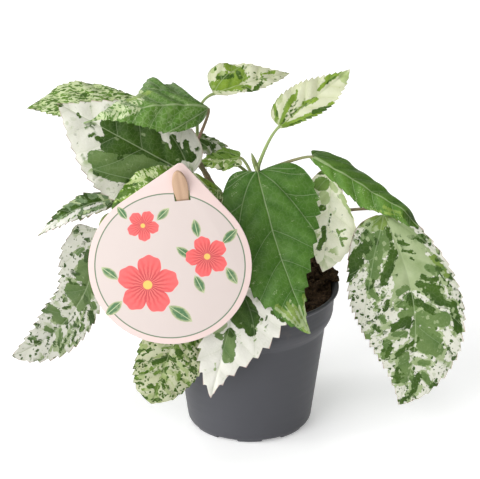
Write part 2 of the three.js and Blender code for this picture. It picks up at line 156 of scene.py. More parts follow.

# Each leaf's values. Pairs give the right side and the left side, seen with the tip up.
# Where it grows: its bough, how far along it, its blade's base and tip, and face, the way it looks.
# Its outline, close to the solid's: half is half the width, widest where the blade is widest, taper how it
# narrows, heart how far its base reaches back, blunt how much wider it ends, bumps swellings of its right
# margin (where, how far and how broad), and teeth their pitch and depth. handle is how long the stalk runs
# straight.
# Its form: bow and sway bend the midrib, most at bow_at, fold is a V across it, curl rolls the sides,
# ruffle waves them, crinkle swells the blade between its veins, and nod hangs the tip.
# Its looks: ground is how green it is between its patches, warm how yellow its greens are, brown how brown
# its stalk is, light is painted light, how much brighter or darker the whole blade is made for the light
# and shade that fall on it, grain how fine its pattern is and stretch how far it is drawn out along the
# blade.
# pale, mid, deep and speck are the shares that these tones take by chance, and fleck is how densely pale
# flecks cross the green. fray is how ragged the patches are, halo how far a pale border reaches round them,
# holes the share of small gaps in them, veins how clear the veins are and net how clear the finest are.
PLAIN_LEAF = dict(
    face=(0, -0.6, 0.8), half=(22, 22), widest=(0.34, 0.34), taper=(1.2, 1.2), heart=8, blunt=0, bumps=(),
    teeth=(5.6, 1.5), handle=0.35, bow=0, bow_at=0.5, sway=0, fold=8, curl=-14, ruffle=1.1, crinkle=0.6,
    nod=0, ground=0, warm=0.15, brown=0.3, light=1, grain=1, stretch=1, pale=0.38, mid=0.36, deep=0.2,
    speck=0.5, fleck=0, fray=0.75, halo=-2.5, holes=0.12, veins=1, net=1)
SOLID = dict(ground=1, pale=0, mid=0, deep=0, speck=0, holes=0)
PLACED = dict(pale=0.05, mid=0.03, deep=0.03)
LEAVES = {
    "front": dict(
        SOLID, tone="green", bough="centre", at=0.85, base=(4.6, -24, 193), tip=(39.6, -74, 98.4),
        face=(0.1, -0.85, 0.5), half=(33, 36), widest=(0.39, 0.24), taper=(0.85, 1.8), sway=3.5, bow=4,
        teeth=(9, 3.2), crinkle=1.3, curl=-20, light=0.97, veins=1.05, warm=0.1),
    "right_hanging": dict(
        PLACED, tone="mixed", bough="right", at=1, base=(88, -14, 158.2), tip=(100.2, -24, 21.4),
        face=(-0.1, -0.9, 0.35), half=(43, 34), widest=(0.37, 0.5), taper=(1.15, 0.85), heart=9, sway=-16,
        bow_at=0.56, bow=3, handle=0.15, teeth=(6.6, 2.4), brown=0.9, speck=2, pale=0.08, mid=0.04,
        deep=0.07, crinkle=1.1, ruffle=1.4, fray=0.9, halo=0.6, holes=0.3, light=0.94),
    "right": dict(
        SOLID, tone="green", bough="centre", at=0.93, base=(41, -14, 197.9), tip=(114, -30, 159.3),
        face=(0.3, -0.6, 0.8), half=(12, 21), widest=(0.5, 0.3), taper=(1.5, 1.55), fold=-25, curl=-10,
        handle=0.12, brown=0.6, nod=9, blunt=0.22, crinkle=1.1, ruffle=1.6, teeth=(5.6, 0.9), veins=1.2,
        warm=0.3, light=1.12),
    "right_inner": dict(
        PLACED, tone="cream", bough="right", at=0.8, base=(54.5, -4, 183.4), tip=(48.4, -14, 115),
        face=(0.1, -0.9, 0.3), half=(20, 20), widest=(0.4, 0.6), taper=(1.2, 1), heart=5, warm=0.5,
        speck=0.15, light=1.48, fray=0.5, pale=0.03, mid=0, deep=0, veins=0.6),
    "top_right": dict(
        PLACED, tone="cream", bough="centre", at=1, base=(19, -12, 218.4), tip=(65, 0, 254.2),
        face=(0.1, -0.8, 0.6), half=(12, 16), widest=(0.55, 0.3), taper=(0.9, 1.2), fold=14, heart=3,
        handle=0.25, teeth=(3.6, 1.4), warm=0.9, brown=0, speck=0.1, light=0.85, mid=0, deep=0, fray=0.5,
        veins=0.6),
    "top_centre": dict(
        PLACED, tone="mixed", bough="left", at=0.9, base=(-24.1, -5, 238.7), tip=(26.3, 15, 245.7),
        half=(8, 19), widest=(0.5, 0.22), taper=(1, 1.2), fold=12, bow=2, heart=1, teeth=(5, 1), warm=0.9,
        brown=0.1, grain=1.6, light=0.88, veins=1.3),
    "top_left": dict(
        SOLID, tone="green", bough="left", at=1, base=(-27.1, -30, 238.1), tip=(-106.4, -45, 233.7),
        half=(29, 18), widest=(0.38, 0.3), taper=(1.7, 1.8), bow=12, fold=-20, handle=0.1, heart=2, brown=1,
        warm=0.3, crinkle=1.5, grain=1.7, teeth=(5, 1.3), veins=1.6, net=1.7, light=0.94,
        bumps=((0.145, 0.46, 0.05), (0.22, 0.12, 0.03), (0.355, 0.24, 0.1), (0.58, -0.28, 0.1))),
    "far_left_top": dict(
        SOLID, tone="mixed", bough="left", at=0.8, base=(-59, 0, 229.8), tip=(-146.4, 5, 224.3),
        face=(0, -0.5, 0.8), half=(16.3, 14), widest=(0.62, 0.5), bow=6, warm=0.7, fleck=0.58, grain=2,
        stretch=2.2, deep=0.2, crinkle=1.2, ruffle=1.6, teeth=(4, 1.3), light=0.84),
    "left_white": dict(
        PLACED, tone="cream", bough="left", at=0.62, base=(-37.7, -32, 192.1), tip=(-124.6, -25, 240.3),
        face=(0, -0.9, 0.35), half=(31, 39), widest=(0.34, 0.4), taper=(1.2, 1.1), heart=6,
        teeth=(6.4, 1.7), speck=0.1, fray=0.45, light=0.84, veins=1.2, crinkle=0.8),
    "left_narrow": dict(
        SOLID, tone="mixed", bough="far_left", at=1, base=(-88.2, -12, 168), tip=(-140.5, -20, 143.4),
        face=(0, -0.5, 0.85), half=(9.5, 9.5), bow=8, warm=0, deep=0.3, speck=0.6, light=0.85,
        teeth=(5, 1.9), fleck=0.4, grain=1.1, ground=0.86),
    "behind_card": dict(
        SOLID, tone="mixed", bough="left", at=0.5, base=(-18.9, -30, 179.3), tip=(-89.5, -45, 173.7),
        half=(15, 18), widest=(0.62, 0.5), taper=(0.6, 1), bow=22, fold=10, warm=1, fleck=0.42, grain=1.7,
        light=0.84, veins=1.3),
    "lower_left": dict(
        PLACED, tone="cream", bough="far_left", at=0.88, base=(-98.5, -25, 152.1), tip=(-158.4, -35, 63.3),
        face=(-0.2, -0.9, 0.4), half=(24, 18), widest=(0.3, 0.62), taper=(0.85, 0.8), sway=-17,
        teeth=(6, 2.6), bumps=((0.2, 0.1, 0.06), (0.46, -0.16, 0.12)), speck=1.5, light=0.6, pale=0.12,
        mid=0.05, deep=0.06, halo=-1),
    "under_card": dict(
        PLACED, tone="mixed", bough="far_left", at=0.7, base=(-40.5, -50, 113), tip=(-65.1, -50, 35.1),
        face=(0, -0.95, 0.2), half=(21, 25), widest=(0.55, 0.52), taper=(0.75, 1.15), warm=1, pale=0.34,
        speck=1.4, mid=0.12, deep=0.16, grain=1.6, light=0.66, ruffle=1.6, blunt=0.16),
    "front_white": dict(
        PLACED, tone="cream", bough="centre", at=0.3, base=(-6.5, -58, 126), tip=(-25.6, -70, 49.5),
        face=(0, -0.95, 0.25), half=(18, 36), widest=(0.5, 0.22), taper=(1, 1.5), curl=-8,
        teeth=(8.2, 3.6), warm=0, pale=0, mid=0, deep=0, speck=0.12, fray=0.6, light=0.94, veins=0.5),
    "crown_inner": dict(
        tone="mixed", bough="centre", at=0.75, base=(-6.5, 5, 189.5), tip=(-35.5, 0, 187.3), half=(9, 8),
        heart=3, handle=0.15, teeth=(4, 1), warm=0.9, grain=1.6, light=1.35),
    "crown_rear": dict(
        tone="mixed", bough="left", at=0.72, base=(-36.9, 14, 201.3), tip=(-13.8, 16, 193.4), half=(12, 4),
        heart=3, teeth=(4, 1), grain=1.6),
    "back_left_low": dict(
        tone="mixed", bough="back", at=0.6, base=(-23, 38, 123), tip=(-63, 80, 45), face=(-0.4, 0.6, 0.7)),
    "back_left": dict(
        SOLID, tone="green", bough="back", at=0.78, base=(-30, 35, 147), tip=(-80, 80, 112),
        face=(-0.3, 0.4, 0.85), fleck=0.1),
    "back_centre": dict(
        tone="cream", bough="back", at=1, base=(2, 50, 150), tip=(5, 105, 80), face=(0, 0.8, 0.6),
        pale=0.2, mid=0.22, deep=0.12),
    "back_right": dict(
        SOLID, tone="green", bough="back", at=0.95, base=(32, 42, 152), tip=(66, 85, 98),
        face=(0.3, 0.5, 0.8)),
    "back_left_high": dict(
        SOLID, tone="mixed", bough="back", at=0.9, base=(-33, 30, 185), tip=(-92, 72, 176),
        face=(0, 0.2, 0.95), warm=0.5, fleck=0.6),
    "back_low": dict(
        tone="mixed", bough="back", at=0.4, base=(3, 62, 112), tip=(18, 92, 35), face=(0.1, 0.9, 0.4)),
    "right_rear": dict(
        tone="mixed", bough="right", at=0.93, base=(69, 25, 127), tip=(125, 58, 52), face=(0.5, 0.4, 0.8)),
    "far_left_rear": dict(
        SOLID, tone="green", bough="far_left", at=0.95, base=(-98, 18, 126), tip=(-128, 58, 48),
        face=(-0.4, 0.5, 0.7)),
    "left_rear": dict(
        tone="cream", bough="far_left", at=0.8, base=(-67, 22, 135), tip=(-88, 74, 60),
        face=(-0.3, 0.6, 0.7), pale=0.24, mid=0.2, deep=0.12),
}

# Where a tone was seen on the named leaf: strokes (x, y, x, y, radius) in the photograph's pixels
PATCHES = {
    "front": dict(
        lime=[(292, 308, 304, 324, 4.5), (300, 318, 311, 335, 3.4), (278, 308, 296, 322, 3.4),
              (286, 302, 297, 318, 1.6), (304, 296, 306, 314, 1.8)],
        pale=[(276, 308, 298, 327, 0.9), (283, 303, 301, 328, 0.7), (290, 300, 304, 326, 0.8),
              (305, 300, 306, 322, 0.8), (302, 322, 312, 336, 1.5), (299, 306, 306, 326, 0.6),
              (284, 316, 292, 321, 1.2)]),
    "right_hanging": dict(
        pale=[(396, 232, 404, 242, 8), (404, 247, 426, 270, 10), (408, 266, 420, 282, 9),
              (395, 268, 400, 284, 6), (371, 280, 371, 294, 4), (368, 222, 368, 238, 4),
              (404, 228, 420, 250, 6), (398, 262, 412, 284, 7), (385, 262, 386, 276, 3),
              (391, 223, 414, 238, 4.5)],
        lime=[(361, 222, 392, 219, 6), (372, 228, 384, 228, 4), (433, 257, 446, 275, 3.5)],
        mid=[(378, 234, 378, 246, 4), (376, 248, 374, 274, 6), (428, 267, 437, 273, 3.5),
             (422, 318, 443, 320, 8), (424, 332, 436, 338, 7), (424, 344, 436, 349, 8),
             (399, 292, 406, 288, 4), (411, 313, 402, 316, 4), (413, 334, 416, 325, 4),
             (388, 343, 385, 355, 4.5), (395, 334, 404, 334, 3.5), (404, 356, 403, 378, 5.5),
             (382, 318, 384, 321, 3), (408, 297, 414, 306, 5), (374, 296, 378, 299, 3),
             (365, 336, 369, 337, 2.6), (375, 304, 376, 308, 2), (420, 362, 428, 363, 3),
             (410, 372, 414, 380, 3), (366, 233, 364, 240, 4), (386, 232, 387, 248, 3.4),
             (368, 282, 371, 292, 3), (400, 304, 412, 306, 4), (372, 236, 369, 258, 3.4),
             (382, 238, 380, 262, 3), (424, 374, 430, 384, 3)],
        deep=[(367, 245, 352, 262, 6), (360, 262, 348, 278, 4.5), (344, 266, 346, 266, 3),
              (376, 239, 377, 243, 2.5), (387, 228, 395, 257, 2.2), (393, 254, 384, 281, 4.5),
              (403, 251, 415, 252, 1.8), (422, 277, 437, 280, 2.5), (419, 284, 440, 289, 3.5),
              (428, 290, 440, 300, 6), (441, 302, 452, 304, 3.2), (453, 304, 458, 330, 4),
              (438, 270, 450, 290, 1.2), (417, 302, 434, 311, 3.3), (410, 296, 411, 303, 3.5),
              (394, 328, 408, 320, 4), (418, 339, 397, 355, 2.4), (391, 346, 387, 357, 2.5),
              (388, 302, 385, 309, 2.5), (375, 327, 379, 331, 2.5), (398, 370, 398, 381, 3),
              (418, 376, 415, 387, 3.5), (415, 390, 402, 401, 2.5)]),
    "right": dict(
        lime=[(336, 184, 352, 204, 0.8), (372, 210, 412, 218, 0.9), (384, 207, 400, 213, 1.6)],
        deep=[(407, 215, 417, 227, 4.5)]),
    "right_inner": dict(
        pale=[(324, 195, 325, 200, 5), (341, 196, 354, 216, 2.6), (331, 184, 336, 190, 3)],
        mid=[(320, 184, 323, 184, 7), (337, 230, 343, 245, 1.3), (341, 238, 347, 239, 1.5),
             (339, 232, 345, 230, 1)],
        deep=[(314, 171, 323, 173, 2.2), (321, 208, 323, 208, 3), (324, 228, 324, 240, 2.6),
              (322, 240, 319, 248, 2.6), (332, 178, 344, 191, 0.9), (331, 214, 328, 226, 0.8),
              (348, 204, 355, 214, 0.8)]),
    "top_right": dict(
        lime=[(297, 91, 295, 100, 1.2), (293, 97, 286, 110, 2.8), (287, 106, 281, 124, 1.8),
              (276, 97, 274, 104, 1.6), (274, 104, 277, 121, 2), (316, 99, 304, 104, 2.6),
              (304, 104, 285, 123, 0.8), (326, 112, 306, 117, 3), (306, 118, 284, 126, 2.8),
              (340, 71, 328, 79, 3.6), (327, 81, 318, 90, 1.6), (332, 104, 328, 107, 2.4)],
        deep=[(314, 112, 333, 107, 2.6), (303, 103, 287, 121, 0.5), (299, 98, 284, 122, 0.4),
              (292, 104, 282, 124, 0.4), (276, 104, 277, 116, 0.6), (312, 116, 290, 125, 0.5),
              (312, 100, 302, 108, 0.5), (336, 76, 326, 84, 0.8)]),
    "top_centre": dict(
        lime=[(214, 86, 232, 86, 5), (222, 78, 238, 78, 6), (228, 66, 240, 74, 4), (232, 88, 250, 87, 2.4),
              (240, 70, 244, 78, 3.5), (262, 74, 274, 72, 1.6)],
        deep=[(218, 78, 232, 76, 2), (238, 72, 240, 77, 2.2), (262, 82, 255, 89, 1.8),
              (248, 91, 256, 91, 1.4)]),
    "top_left": dict(
        fleck=[(98, 113, 134, 98, 11), (104, 104, 136, 90, 5), (112, 116, 136, 108, 5)],
        lime=[(128, 100, 150, 92, 2)]),
    "left_white": dict(
        mid=[(95, 158, 112, 160, 8), (102, 165, 142, 166, 10.5), (114, 173, 132, 175, 9),
             (138, 161, 160, 163, 8), (108, 155, 142, 156, 4), (98, 170, 112, 175, 5.5),
             (92, 154, 100, 155, 4)],
        deep=[(107, 124, 112, 134, 7), (120, 124, 148, 130, 10), (122, 136, 150, 142, 13),
              (107, 146, 138, 148, 7), (150, 150, 172, 158, 8), (156, 146, 164, 148, 6),
              (172.5, 137, 174, 145, 3.2), (176, 146, 179, 158, 4.5), (186, 143, 187, 150, 3.4),
              (184, 154, 191, 157, 5.5), (119, 158, 122, 158, 2.4), (78, 114, 80, 117, 1.5),
              (89, 136, 93, 134, 2.1), (97, 138, 101, 140, 2.4), (101, 138, 108, 137, 1.1),
              (93, 171, 98, 175, 1.4)]),
    "left_narrow": dict(
        white=[(101, 203, 84, 209, 1.2), (106, 208, 82, 217, 1), (80, 210, 56, 225, 1.5),
               (66, 220, 52, 229, 1.6), (56, 222, 42, 232, 2), (76, 218, 62, 226, 1.2),
               (104, 213, 88, 219, 1)],
        deep=[(82, 205, 97, 202, 2.2), (66, 210, 50, 222, 1.8), (95, 211, 66, 222, 0.9)]),
    "behind_card": dict(
        deep=[(118, 196, 132, 190, 3), (150, 180, 156, 182, 3), (204, 178, 212, 190, 0.8),
              (113, 206, 128, 203, 2.6), (122, 188, 136, 184, 1.6)],
        lime=[(112, 208, 134, 198, 4), (140, 190, 160, 178, 2), (196, 166, 214, 186, 5),
              (118, 190, 124, 184, 2)],
        pale=[(128, 184, 144, 178, 2), (206, 168, 218, 187, 1.3)]),
    "lower_left": dict(
        mid=[(84, 264, 80, 276, 5.5), (87, 268, 87, 298, 5), (73, 290, 82, 298, 8.5), (76, 302, 80, 308, 4),
             (92, 304, 94, 307, 2.6), (77, 253, 82, 249, 2.6), (50, 308, 57, 313, 3.6),
             (56, 319, 65, 321, 3.8), (46, 329, 52, 331, 2.8), (60, 331, 60, 340, 2.2)],
        # The first deep stroke is painted shadow, a dark spot where the blade lies in shade
        deep=[(88, 252, 86, 260, 2.6), (69, 279, 71, 283, 1.6), (75, 284, 79, 283, 1.2),
              (64, 308, 70, 307, 1.2), (90, 312, 92, 321, 2.6), (36, 342, 40, 342, 2.3),
              (55, 342, 55, 345, 1.8), (35, 324, 39, 325, 1.6), (86, 240, 89, 240, 1.8),
              (71, 254, 74, 255, 1.6), (63, 345, 60, 352, 1.2), (86, 308, 80, 330, 0.7),
              (82, 310, 72, 332, 0.7), (78, 326, 70, 346, 0.8), (70, 334, 62, 346, 0.7),
              (84, 328, 76, 344, 0.6), (76, 312, 66, 328, 0.7), (90, 324, 86, 338, 0.6),
              (52, 334, 46, 346, 0.8)],
        pale=[(86, 308, 74, 334, 1.4), (80, 314, 64, 346, 1.3), (88, 312, 88, 330, 1),
              (72, 326, 60, 350, 1.4), (52, 346, 48, 358, 1.2), (64, 350, 68, 357, 1.2),
              (66, 300, 64, 296, 2), (96, 225, 100, 228, 2.4)]),
    "under_card": dict(
        mid=[(177, 348, 181, 356, 3.2), (179, 373, 179, 379, 2), (154, 374, 160, 371, 1.6),
             (157, 385, 156, 394, 2)],
        deep=[(154, 363, 167, 358, 3), (172, 361, 178, 369, 1), (163, 371, 167, 368, 1.8),
              (192, 369, 195, 371, 3), (177, 352, 182, 358, 2), (163, 384, 164, 388, 1.4),
              (148, 386, 153, 386, 1.8), (154, 400, 160, 399, 2), (188, 346, 191, 349, 2.2)]),
    "front_white": dict(
        mid=[(230, 336, 228, 357, 6.5), (218, 336, 221, 338, 3.2)],
        deep=[(243, 305, 250, 318, 10), (247, 324, 251, 332, 5), (234, 316, 240, 324, 5),
              (262, 299, 266, 306, 2), (257, 293, 262, 300, 2.6), (272, 312, 284, 321, 1.9),
              (266, 316, 266, 320, 1.1), (230, 331, 231, 334, 3.6)],
        pale=[(216, 331, 224, 325, 3.6), (255, 328, 257, 330, 1.3), (265, 328, 266, 330, 1.3),
              (255, 339, 255, 341, 1.1), (216, 362, 215, 370, 1)]),
    "crown_inner": dict(
        mid=[(208, 154, 238, 155, 5), (222, 150, 236, 152, 4)],
        lime=[(206, 162, 214, 164, 3)]),
    "crown_rear": dict(
        deep=[(200, 140, 214, 146, 2.4)],
        pale=[(198, 132, 226, 143, 1.6)]),
}


# Shader arithmetic: a Value is a socket, and its operators add Math nodes to its tree.
class Value:
    def __init__(self, tree, socket):
        self.tree = tree
        self.socket = socket

    def math(self, operation, *others, clamp=False):
        node = self.tree.nodes.new("ShaderNodeMath")
        node.operation = operation
        node.use_clamp = clamp
        for place, value in enumerate((self, *others)):
            join(self.tree, value, node.inputs[place])
        return Value(self.tree, node.outputs[0])

    def __add__(self, other):
        return self.math("ADD", other)

    def __mul__(self, other):
        return self.math("MULTIPLY", other)

    def __sub__(self, other):
        return self.math("SUBTRACT", other)

    def __truediv__(self, other):
        return self.math("DIVIDE", other)

    def __rsub__(self, other):
        return self * -1 + other

    __radd__ = __add__
    __rmul__ = __mul__

    def clamped(self):
        return self.math("ADD", 0.0, clamp=True)


def join(tree, value, socket):
    """Gives a socket its value: another socket, a Value, a number or a colour."""
    if isinstance(value, Value):
        value = value.socket
    if isinstance(value, bpy.types.NodeSocket):
        tree.links.new(value, socket)
    elif isinstance(value, tuple) and len(value) == 3 and len(socket.default_value) == 4:
        socket.default_value = (*value, 1)
    else:
        socket.default_value = value


ARRAY_MATHS = {"ABSOLUTE": np.abs, "EXPONENT": np.exp, "FLOOR": np.floor, "SINE": np.sin,
               "MINIMUM": np.minimum, "MAXIMUM": np.maximum}


def maths(operation, first, *others):
    """One function of a shader value or of an array, so that relief and colour follow the same rule."""
    if isinstance(first, Value):
        return first.math(operation, *others)
    return ARRAY_MATHS[operation](first, *others)


class Material:
    """A new material with its Principled shader, and short ways to add the nodes that this scene uses."""
    def __init__(self, name):
        self.material = bpy.data.materials.new(name)
        self.material.use_nodes = True
        self.tree = self.material.node_tree
        self.shader = self.tree.nodes["Principled BSDF"]

    def node(self, kind, output, inputs=(), **settings):
        node = self.tree.nodes.new(kind)
        for key, value in settings.items():
            setattr(node, key, value)
        for key, value in dict(inputs).items():
            join(self.tree, value, node.inputs[key])
        return Value(self.tree, node.outputs[output])

    def attribute(self, name):
        return self.node("ShaderNodeAttribute", "Fac", attribute_name=name)

    def uv(self, name):
        vector = self.node("ShaderNodeUVMap", 0, uv_map=name)
        return [self.node("ShaderNodeSeparateXYZ", axis, {"Vector": vector}) for axis in "XY"]

    def vector(self, x, y, z=0.0):
        return self.node("ShaderNodeCombineXYZ", 0, {"X": x, "Y": y, "Z": z})

    def places(self):
        return self.node("ShaderNodeTexCoord", "Object")

    def combine(self, operation, first, second):
        return self.node("ShaderNodeVectorMath", 0, {0: first, 1: second}, operation=operation)

    def noise(self, vector, scale, detail=3.0, output="Fac"):
        return self.node("ShaderNodeTexNoise", output, {"Vector": vector, "Scale": scale, "Detail": detail})

    def cells(self, vector, output="Distance", feature="F1"):
        return self.node("ShaderNodeTexVoronoi", output, {"Vector": vector, "Scale": 1.0}, feature=feature)

    def part(self, colour, axis):
        return self.node("ShaderNodeSeparateColor", axis, {"Color": colour})

    def mix(self, factor, first, second):
        node = self.tree.nodes.new("ShaderNodeMix")
        node.data_type = "RGBA"
        for place, value in zip((0, 6, 7), (factor, first, second)):
            join(self.tree, value, node.inputs[place])
        return node.outputs[2]

    def bump(self, height, millimetres, strength=1.0):
        inputs = {"Height": height, "Distance": millimetres * MM, "Strength": strength}
        return self.node("ShaderNodeBump", "Normal", inputs)

    def finish(self, colour, roughness, normal=None, **fixed):
        join(self.tree, colour, self.shader.inputs["Base Color"])
        join(self.tree, roughness, self.shader.inputs["Roughness"])
        if normal is not None:
            join(self.tree, normal, self.shader.inputs["Normal"])
        for key, value in fixed.items():
            self.shader.inputs[key.replace("_", " ")].default_value = value
        return self.material


# Small tools for arrays of points
HASH_STEPS = np.array([127.1, 311.7, 74.7])
HASH_SEED = 53.3
HASH_SCALE = 43758.5453
FAR_OUTSIDE = -40.0


def unit(vectors):
    return vectors / np.maximum(np.linalg.norm(vectors, axis=-1, keepdims=True), 1e-9)


def hump(away, height, width):
    """A round hump, where away is how far its middle is."""
    return height * np.exp(-(away / width) ** 2)


def smoothstep(low, high, value):
    share = np.clip((value - low) / (high - low), 0, 1)
    return share * share * (3 - 2 * share)


def hashed(cells, seed):
    """A number from 0 to 1 for each whole-numbered cell, by a sine hash."""
    mixed = np.sin(cells @ HASH_STEPS + HASH_SEED * seed) * HASH_SCALE
    return mixed - np.floor(mixed)


def rough(points, size, seed, octaves=3):
    """Soft noise from -1 to 1 at each point, with lumps of that size and finer ones on them."""
    total = np.zeros(points.shape[:-1])
    for octave in range(octaves):
        scaled = points / size * 2 ** octave
        cell = np.floor(scaled)
        share = scaled - cell
        share = share * share * (3 - 2 * share)
        value = np.zeros(points.shape[:-1])
        for corner in np.ndindex(2, 2, 2):
            weight = np.prod(np.where(corner, share, 1 - share), axis=-1)
            value += weight * hashed(cell + np.array(corner), seed + octave)
        total += (2 * value - 1) / 2 ** octave
    return total / (2 - 0.5 ** (octaves - 1))


def pixels_of(points):
    """Where the camera of the photograph sees each point, in its pixels."""
    side, depth, height = np.moveaxis(points - AIM, -1, 0)
    away = FAR + depth * math.cos(LOOK_DOWN) - height * math.sin(LOOK_DOWN)
    up = depth * math.sin(LOOK_DOWN) + height * math.cos(LOOK_DOWN)
    return PHOTO_SIZE[0] / 2 + FOCAL_PIXELS * side / away, PHOTO_SIZE[1] / 2 - FOCAL_PIXELS * up / away


def spline(knots, count=200):
    """A centripetal Catmull-Rom curve through the knots, as points spaced evenly along it."""
    knots = np.array(knots, float)
    knots = np.vstack([2 * knots[0] - knots[1], knots, 2 * knots[-1] - knots[-2]])
    share = np.linspace(0, 1, count)[:, None]
    runs = []
    for a, b, c, d in zip(knots, knots[1:], knots[2:], knots[3:]):
        ab, bc, cd = (math.sqrt(np.linalg.norm(q - p)) for p, q in ((a, b), (b, c), (c, d)))
        leave = bc * ((b - a) / ab - (c - a) / (ab + bc)) + (c - b)
        reach = (c - b) + bc * ((d - c) / cd - (d - b) / (bc + cd))
        runs.append(b + leave * share + (3 * (c - b) - 2 * leave - reach) * share ** 2
                    + (2 * (b - c) + leave + reach) * share ** 3)
    return evenly(np.vstack(runs), count)


def evenly(path, count):
    steps = np.linalg.norm(np.diff(path, axis=0), axis=1)
    path = path[np.r_[True, steps > 1e-9]]
    along = np.r_[0, np.cumsum(np.linalg.norm(np.diff(path, axis=0), axis=1))]
    wanted = np.linspace(0, along[-1], count)
    return np.stack([np.interp(wanted, along, path[:, axis]) for axis in range(3)], axis=-1)


# Where the baked picture of a piece has its stalks and tubes, and where a blade's upper side and underside
BAKE_TUBE = ((0.49, 0.51), (0.02, 0.98))
BAKE_BLADE = np.array([0.46, 0.96])
BAKE_SIDES = (np.array([0.01, 0.02]), np.array([0.53, 0.02]))


class Shape:
    """Points and faces with their materials, maps and attributes, collected before they become a mesh."""
    def __init__(self):
        self.points, self.faces, self.slots, self.maps, self.facts = [], [], [], {}, {}
        self.count = 0

    def add(self, points, faces, slot=0, maps=None, **facts):
        """Adds a patch. maps are two numbers for each point, and facts one number each."""
        points = np.asarray(points, float).reshape(-1, 3)
        for kept, new, width in ((self.maps, maps or {}, 2), (self.facts, facts, 1)):
            for name in {**kept, **new}:
                rows = kept.setdefault(name, [np.zeros((self.count, width))])
                value = np.asarray(new.get(name, 0.0), float)
                value = value.reshape(-1, width) if value.ndim else value
                rows.append(np.broadcast_to(value, (len(points), width)))
        self.faces += [tuple(int(i) + self.count for i in face) for face in faces]
        self.slots += [slot] * len(faces)
        self.points.append(points)
        self.count += len(points)

    def tube(self, path, radii, sides=12, slot=0, **facts):
        """A closed round limb along a path, with a radius for each point, or for each point and side."""
        path = np.asarray(path, float)
        radii = np.broadcast_to(np.asarray(radii, float).reshape(len(path), -1), (len(path), sides))
        tangents = unit(np.gradient(path, axis=0))
        side = unit(np.cross(tangents[0], [0.31, 0.2, 0.9]))
        rings = []
        for centre, tangent, radius in zip(path, tangents, radii):
            side = unit(side - tangent * (side @ tangent))
            other = np.cross(tangent, side)
            angle = 2 * np.pi * np.arange(sides)[:, None] / sides
            rings.append(centre + radius[:, None] * (np.cos(angle) * side + np.sin(angle) * other))
        rows = len(path)
        grid = np.arange(rows * sides).reshape(rows, sides)
        faces = quads(grid, closed=True)
        faces += [tuple(grid[0][::-1]), tuple(grid[-1])]
        across, along = (np.linspace(*ends, count) for ends, count in zip(BAKE_TUBE, (sides, rows)))
        strip = np.stack(np.meshgrid(across, along), axis=-1).reshape(-1, 2)
        facts = {key: np.repeat(value, sides) if np.ndim(value) else value for key, value in facts.items()}
        self.add(np.vstack(rings), faces, slot, {"OFBake": strip}, **facts)

    def piece(self, name, slot, materials, replaces=()):
        """Makes the mesh object, which rides on the plant's one body and may stand for solids."""
        thing = mesh_object(name, np.vstack(self.points), self.faces)
        mesh = thing.data
        mesh.polygons.foreach_set("material_index", self.slots)
        mesh.polygons.foreach_set("use_smooth", [True] * len(self.faces))
        for key, rows in self.maps.items():
            add_map(mesh, key, np.vstack(rows))
        for key, rows in self.facts.items():
            add_fact(mesh, key, np.vstack(rows))
        mesh.update()
        for material in materials:
            mesh.materials.append(material)
        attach(thing, "root")
        if replaces:
            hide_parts(*replaces)
        return thing


def mesh_object(name, points, faces):
    """A new mesh object in the scene, made from points in millimetres."""
    mesh = bpy.data.meshes.new(name)
    mesh.from_pydata((np.asarray(points) * MM).tolist(), [], faces)
    return linked(name, mesh)


def linked(name, data):
    thing = bpy.data.objects.new(name, data)
    bpy.context.scene.collection.objects.link(thing)
    return thing


def add_map(mesh, name, places):
    """Adds a UV map from two numbers for each point."""
    corners = np.zeros(len(mesh.loops), int)
    mesh.loops.foreach_get("vertex_index", corners)
    mesh.uv_layers.new(name=name).uv.foreach_set("vector", places[corners].astype(np.float32).ravel())


def add_fact(mesh, name, values):
    """Adds an attribute from one number for each point."""
    mesh.attributes.new(name, "FLOAT", "POINT").data.foreach_set("value", values.astype(np.float32).ravel())


def quads(grid, closed=False):
    """The faces of a grid of point numbers, joined round its rows where it is closed."""
    across = np.roll(grid, -1, axis=1) if closed else grid[:, 1:]
    start = grid if closed else grid[:, :-1]
    return np.stack([start[:-1], across[:-1], across[1:], start[1:]], axis=-1).reshape(-1, 4).tolist()


# Leaves. Along a blade u runs from 0 at its base to 1 at its tip, and across it v runs from -1 to 1. On the
# blade laid flat, s and t are millimetres from the midrib and from its base.

# The veins, in shares of the blade's length: how far the main pair reaches aside and how soon, how far the
# lowest pair reaches, and the branches' pitch and where they start. Then the slopes of the lowest pair and
# of the branches inside and outside the main pair, and how much closer the branches outside it are.
VEINS = dict(reach=0.33, soon=0.36, lowest=0.22, pitch=0.18, start=0.2, basal=0.12, inside=0.85,
             outside=0.3, closer=0.75)
# What turns a distance along or across the blade into one square to the main pair and to the branches
# inside and outside it, and how far and how closely the veins wander
SLANTS = dict(main=0.74, inside=0.76, outside=0.72)
WANDER = (0.9, 0.21)
# Each kind of vein as a groove in the blade's upper side, as (depth, width): midrib, main pair and branches
GROOVES = ((0.4, 1.0), (0.3, 0.9), (0.22, 0.8))
# The ridges under the midrib and the main pair, as (height, width)
RIDGES = ((0.55, 0.8), (0.25, 0.7))
# Where along a blade its teeth grow to their full size, its end turns blunt and its tip nods
TEETH_GROW = (0.04, 0.3)
BLUNT_FROM_TO = (0.6, 0.9)
NOD_FROM_TO = (0.72, 1.0)
# The rows of points on each tooth, as shares of its pitch, its crest, and how much the teeth differ in size
TOOTH_ROWS = np.array([0, 0.22, 0.45, 0.67, 0.86, 0.95])
TOOTH_CREST = 0.86
TOOTH_SIZES = (0.55, 1.15)
BLADE_ENDS = (0.006, 0.996)
COLUMN_PITCH = 1.15
COLUMN_COUNTS = (12, 34)
MIDRIB_STEPS = 60
FULL_RELIEF_LENGTH = 75
HALF_THICKNESS = 0.26
FACTS = ("warm", "ground", "grain", "stretch", "light", "fray", "halo", "holes", "veins", "net")
SEED_STEP = 3.7


